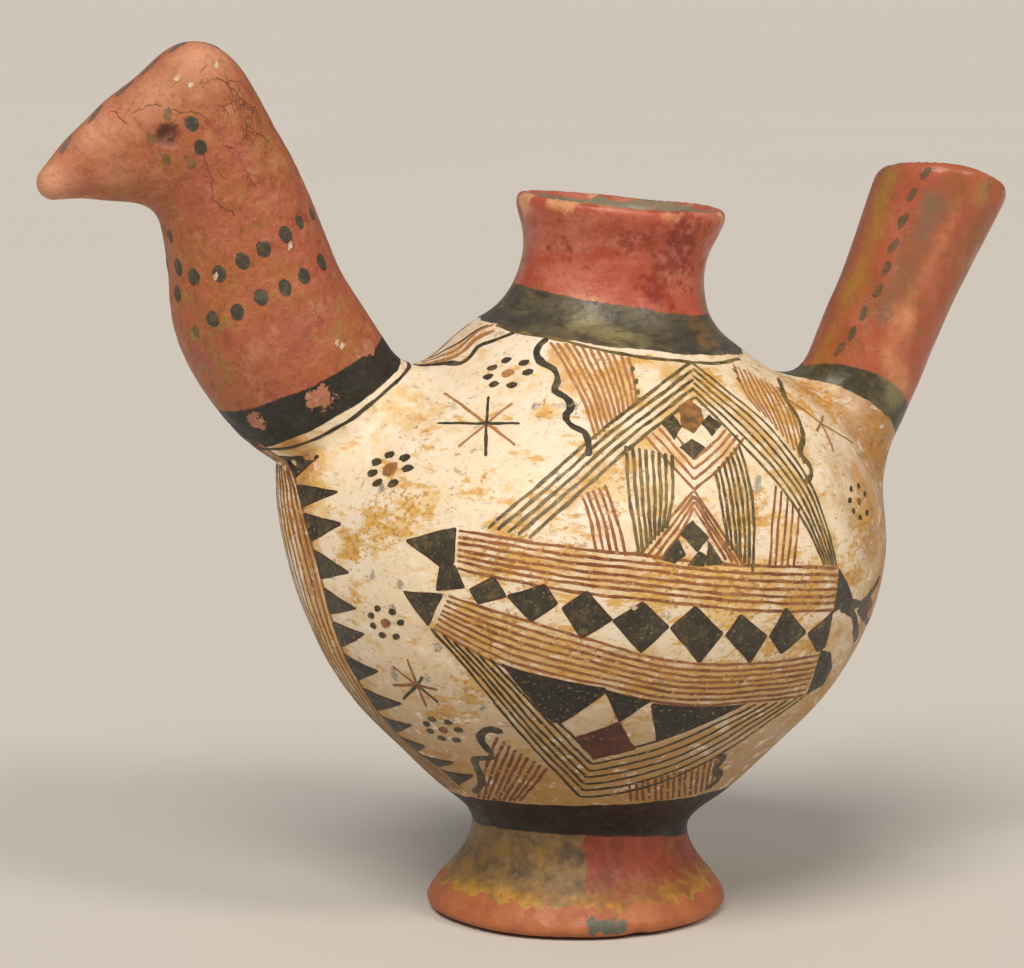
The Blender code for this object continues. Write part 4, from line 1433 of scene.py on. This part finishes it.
painted(
    "neck_dots",
    fired("black dabs on the neck", neck_dab_colour, relief=0.04),
    0.10,
    ovals(necklace, 4.8, 4.0, 105, 0.06),
    ovals(second_row, 4.6, 3.8, 110, 0.06),
    ovals(nape_dots, 3.8, 2.8, 100),
    ovals(far_necklace, 4.6, 3.8, 80),
    ovals(eye_dots, 4.3, 3.5, 110, 0.06),
)
faint_dab = fired("thin dabs by the eyes", faint_dab_colour)
painted("faint_dots", faint_dab, 0.10, ovals(faint_dots, 3.2, 2.4, 110, 0.2))
crack_paths = [
    [(-125, -11, 228), (-122, -12, 229.5), (-118, -14, 230)],
    [(-130, -6, 228), (-128.5, -9, 227), (-127, -11, 225)],
    [(-116, -16, 229.5), (-112, -17, 228.5), (-108.5, -17, 228), (-105, -18, 224)],
    [(-107, -17, 217), (-105, -17, 211), (-104.5, -17, 206), (-99, -18, 201)],
    [(-95, -15, 225), (-92.5, -13, 222.5), (-89, -11, 219.5)],
    [(-103, -12, 237), (-99, -12, 235), (-95, -12, 230)],
    [(-112, 17, 229), (-107, 18, 228), (-103, 18, 223)],
    [(-104, 17, 212), (-102, 17, 205), (-98, 18, 200)],
]
painted(
    "drying_cracks",
    fired("crack", crack_colour),
    0.06,
    *(strokes(path, width=0.3, sway=0.3, spacing=0.6, wavelengths=(2.2, 4.3, 8.3)) for path in crack_paths),
)
lime_specks = [
    (-113.4, -11.6, 237.3), (-110, -13.8, 235.4), (-102.4, -9.8, 240.4), (-104.6, -17.6, 184.6),
    (-84.4, -18.6, 192.4), (-72.2, -20.9, 165.8), (-70.8, -20, 164.6), (-4, -76, 100), (-40, 60, 110),
    (30, -50, 62),
]  # fmt: skip
lime_speck = fired("lime speck", lime_colour, rough=(0.6, 0.8))
painted("lime_specks", lime_speck, 0.14, ovals(lime_specks, 2.2, 1.4, 60, 0.3))
bloom_spots = [
    (-51.2, 77.6), (-47.1, 87.3), (-53.6, 103.8), (-55.8, 97.3), (-62, 128), (-31.2, 150.2), (60, 112),
    (-40, 70),
]  # fmt: skip
salt_bloom = fired("salt bloom", salt_bloom_colour, rough=(0.6, 0.8))
painted("bloom_spots", salt_bloom, 0.06, ovals(bloom_spots, 2.8, 2.4, 60, 0.22))
crest = [
    (-102, -1, 246), (-111, -2, 244), (-119, -2, 239.5), (-126, -2, 234), (-134, -2, 227.5),
    (-142, -2, 219.5),
]  # fmt: skip
crest_dab = fired("grey dabs on the crest", crest_dab_colour)
painted("crest_dabs", crest_dab, 0.1, ovals(crest, 6.5, 2.2, 90, 0.15))

# ---------------------------------------------------------------------------------------------
# The tail: a row of black dashes climbs its near side, and another its far side.


def tail_dab_colour(tree):
    """Olive-black dabs, thin enough for the red to show through."""
    return layered(tree, "#5B4B34", (clouds(tree, 3, 0.40, 0.62, 99), "#7C5A3C"))


dashes = [
    (74.3, -10.5, 158.6), (77.4, -11.7, 163.1), (80.6, -12.2, 168.8), (84.4, -13, 175),
    (86.9, -13, 181.4), (88.7, -12.9, 187.5), (91.2, -13.2, 194.3), (93.6, -13.6, 201.7),
    (97.4, -14.9, 208),
]  # fmt: skip
dashes += [(x + 3, y, z) for x, y, z in mirrored(dashes[:-1])]
tail_dab = fired("olive dabs on the tail", tail_dab_colour)
painted("tail_dashes", tail_dab, 0.09, ovals(dashes, 4.8, 2.0, 62, 0.14))

# ---------------------------------------------------------------------------------------------
# The far flank has the same belts, diamonds and gables in the same slips, drawn plainer and with
# fewer lines.

far_shapes = []
for turn in range(144, 210, 12):
    far_shapes.append([(turn, 95), (turn + 5.5, 103.5), (turn + 11, 95), (turn + 5.5, 86.5)])
far_shapes += [[(134, 115), (143.5, 118), (143, 104)], [(134, 97), (143, 104), (141, 90)]]
far_shapes += [[(222, 115), (213, 118), (213.5, 104)], [(223, 97), (213.5, 104), (216, 90)]]
painted(
    "far_belts",
    red_brown,
    0.08,
    strokes([(143, 118), (180, 114), (213, 118)], [(143, 106), (180, 104.5), (213, 106)], 6, 0.9, 0.2),
    strokes([(141, 88), (180, 85), (216, 88)], [(139, 76), (180, 72), (218, 76)], 6, 0.9, 0.2),
    strokes([(158, 120), (180, 131)], [(164, 119), (180, 127)], 4),
    strokes([(202, 120), (180, 131)], [(196, 119), (180, 127)], 4),
    strokes([(143, 138), (150, 118)], [(152, 142), (157, 119)], 6, 0.9),
    strokes([(217, 138), (210, 118)], [(208, 142), (203, 119)], 6, 0.9),
)
painted(
    "far_gables",
    thin_black,
    0.10,
    strokes([(180, 156), (160, 140), (144, 119)], [(180, 149), (163, 136), (150, 118)], 5),
    strokes([(180, 156), (200, 140), (216, 119)], [(180, 149), (197, 136), (210, 118)], 5),
    strokes([(146, 73), (163, 56), (180, 42)], [(154, 72), (167, 60), (180, 49)], 5),
    strokes([(214, 73), (197, 56), (180, 42)], [(206, 72), (193, 60), (180, 49)], 5),
)
painted("far_edging", deep_red, 0.10, *outlined(far_shapes))
painted(
    "far_diamonds",
    thick_black,
    0.13,
    *(filled(shape) for shape in far_shapes),
    filled([(173, 69), (187, 69), (180, 58)]),
    filled([(174, 146), (180, 140), (186, 146), (180, 150)]),
)

# ---------------------------------------------------------------------------------------------
# The studio: a plain pale floor, soft light from wide lamps high on both sides, and the camera on a
# long lens.

# The view's turn towards -X and its rise; then in mm the camera's distance, the place that it looks
# at, its sensor and its lens; and in metres the floor.
VIEW_TURN, VIEW_RISE = radians(14), radians(9)
VIEW_DISTANCE, VIEW_TARGET = 1120, np.array([-18.3, 0, 122])
SENSOR_WIDTH, FOCAL_LENGTH = 36, 140.625
FLOOR_HALF_WIDTH = 20.0


def lamp(name, turn, rise, spread, strength, colour):
    """A distant lamp `spread` degrees wide, `turn` degrees towards +X from the near side."""
    light = bpy.data.lights.new(name, "SUN")
    light.angle = radians(spread)
    light.energy = strength
    light.color = srgb(colour)[:3]
    lit = bpy.data.objects.new(name, light)
    turn, rise = radians(turn), radians(rise)
    away = Vector((sin(turn) * cos(rise), -cos(turn) * cos(rise), sin(rise)))
    lit.rotation_euler = away.to_track_quat("Z", "Y").to_euler()
    bpy.context.scene.collection.objects.link(lit)


def pale_floor_colour(tree):
    """Matt off-white paint, almost even."""
    return layered(tree, "#D8D5CF", (clouds(tree, 400, 0.3, 0.7, 77), "#D9D6D0"))


floor_mesh = bpy.data.meshes.new("floor")
floor_mesh.from_pydata(
    [(x * FLOOR_HALF_WIDTH, y * FLOOR_HALF_WIDTH, low.z) for x, y in ((-1, -1), (1, -1), (1, 1), (-1, 1))],
    [],
    [(0, 1, 2, 3)],
)
floor = bpy.data.objects.new("floor", floor_mesh)
floor_mesh.materials.append(fired("matt floor paint", pale_floor_colour, rough=(0.8, 0.9), relief=0.0))
bpy.context.scene.collection.objects.link(floor)

lamp("key", turn=-32, rise=52, spread=30, strength=2.15, colour="#FFF5E8")
lamp("second", turn=38, rise=38, spread=14, strength=0.9, colour="#FFF2E0")
world = bpy.data.worlds.new("soft room")
world.use_nodes = True
room = world.node_tree.nodes["Background"]
room.inputs["Color"].default_value = srgb("#E6E6E8")
room.inputs["Strength"].default_value = 0.28
bpy.context.scene.world = world
bpy.context.scene.view_settings.view_transform = "Standard"

lens = bpy.data.cameras.new("camera")
lens.sensor_width = SENSOR_WIDTH
lens.lens = FOCAL_LENGTH
lens.clip_end = 100
camera = bpy.data.objects.new("camera", lens)
towards_camera = Vector((-sin(VIEW_TURN) * cos(VIEW_RISE), -cos(VIEW_TURN) * cos(VIEW_RISE), sin(VIEW_RISE)))
camera.location = Vector(FOOT + VIEW_TARGET * MM) + towards_camera * VIEW_DISTANCE * MM
camera.rotation_euler = towards_camera.to_track_quat("Z", "Y").to_euler()
bpy.context.scene.collection.objects.link(camera)
bpy.context.scene.camera = camera
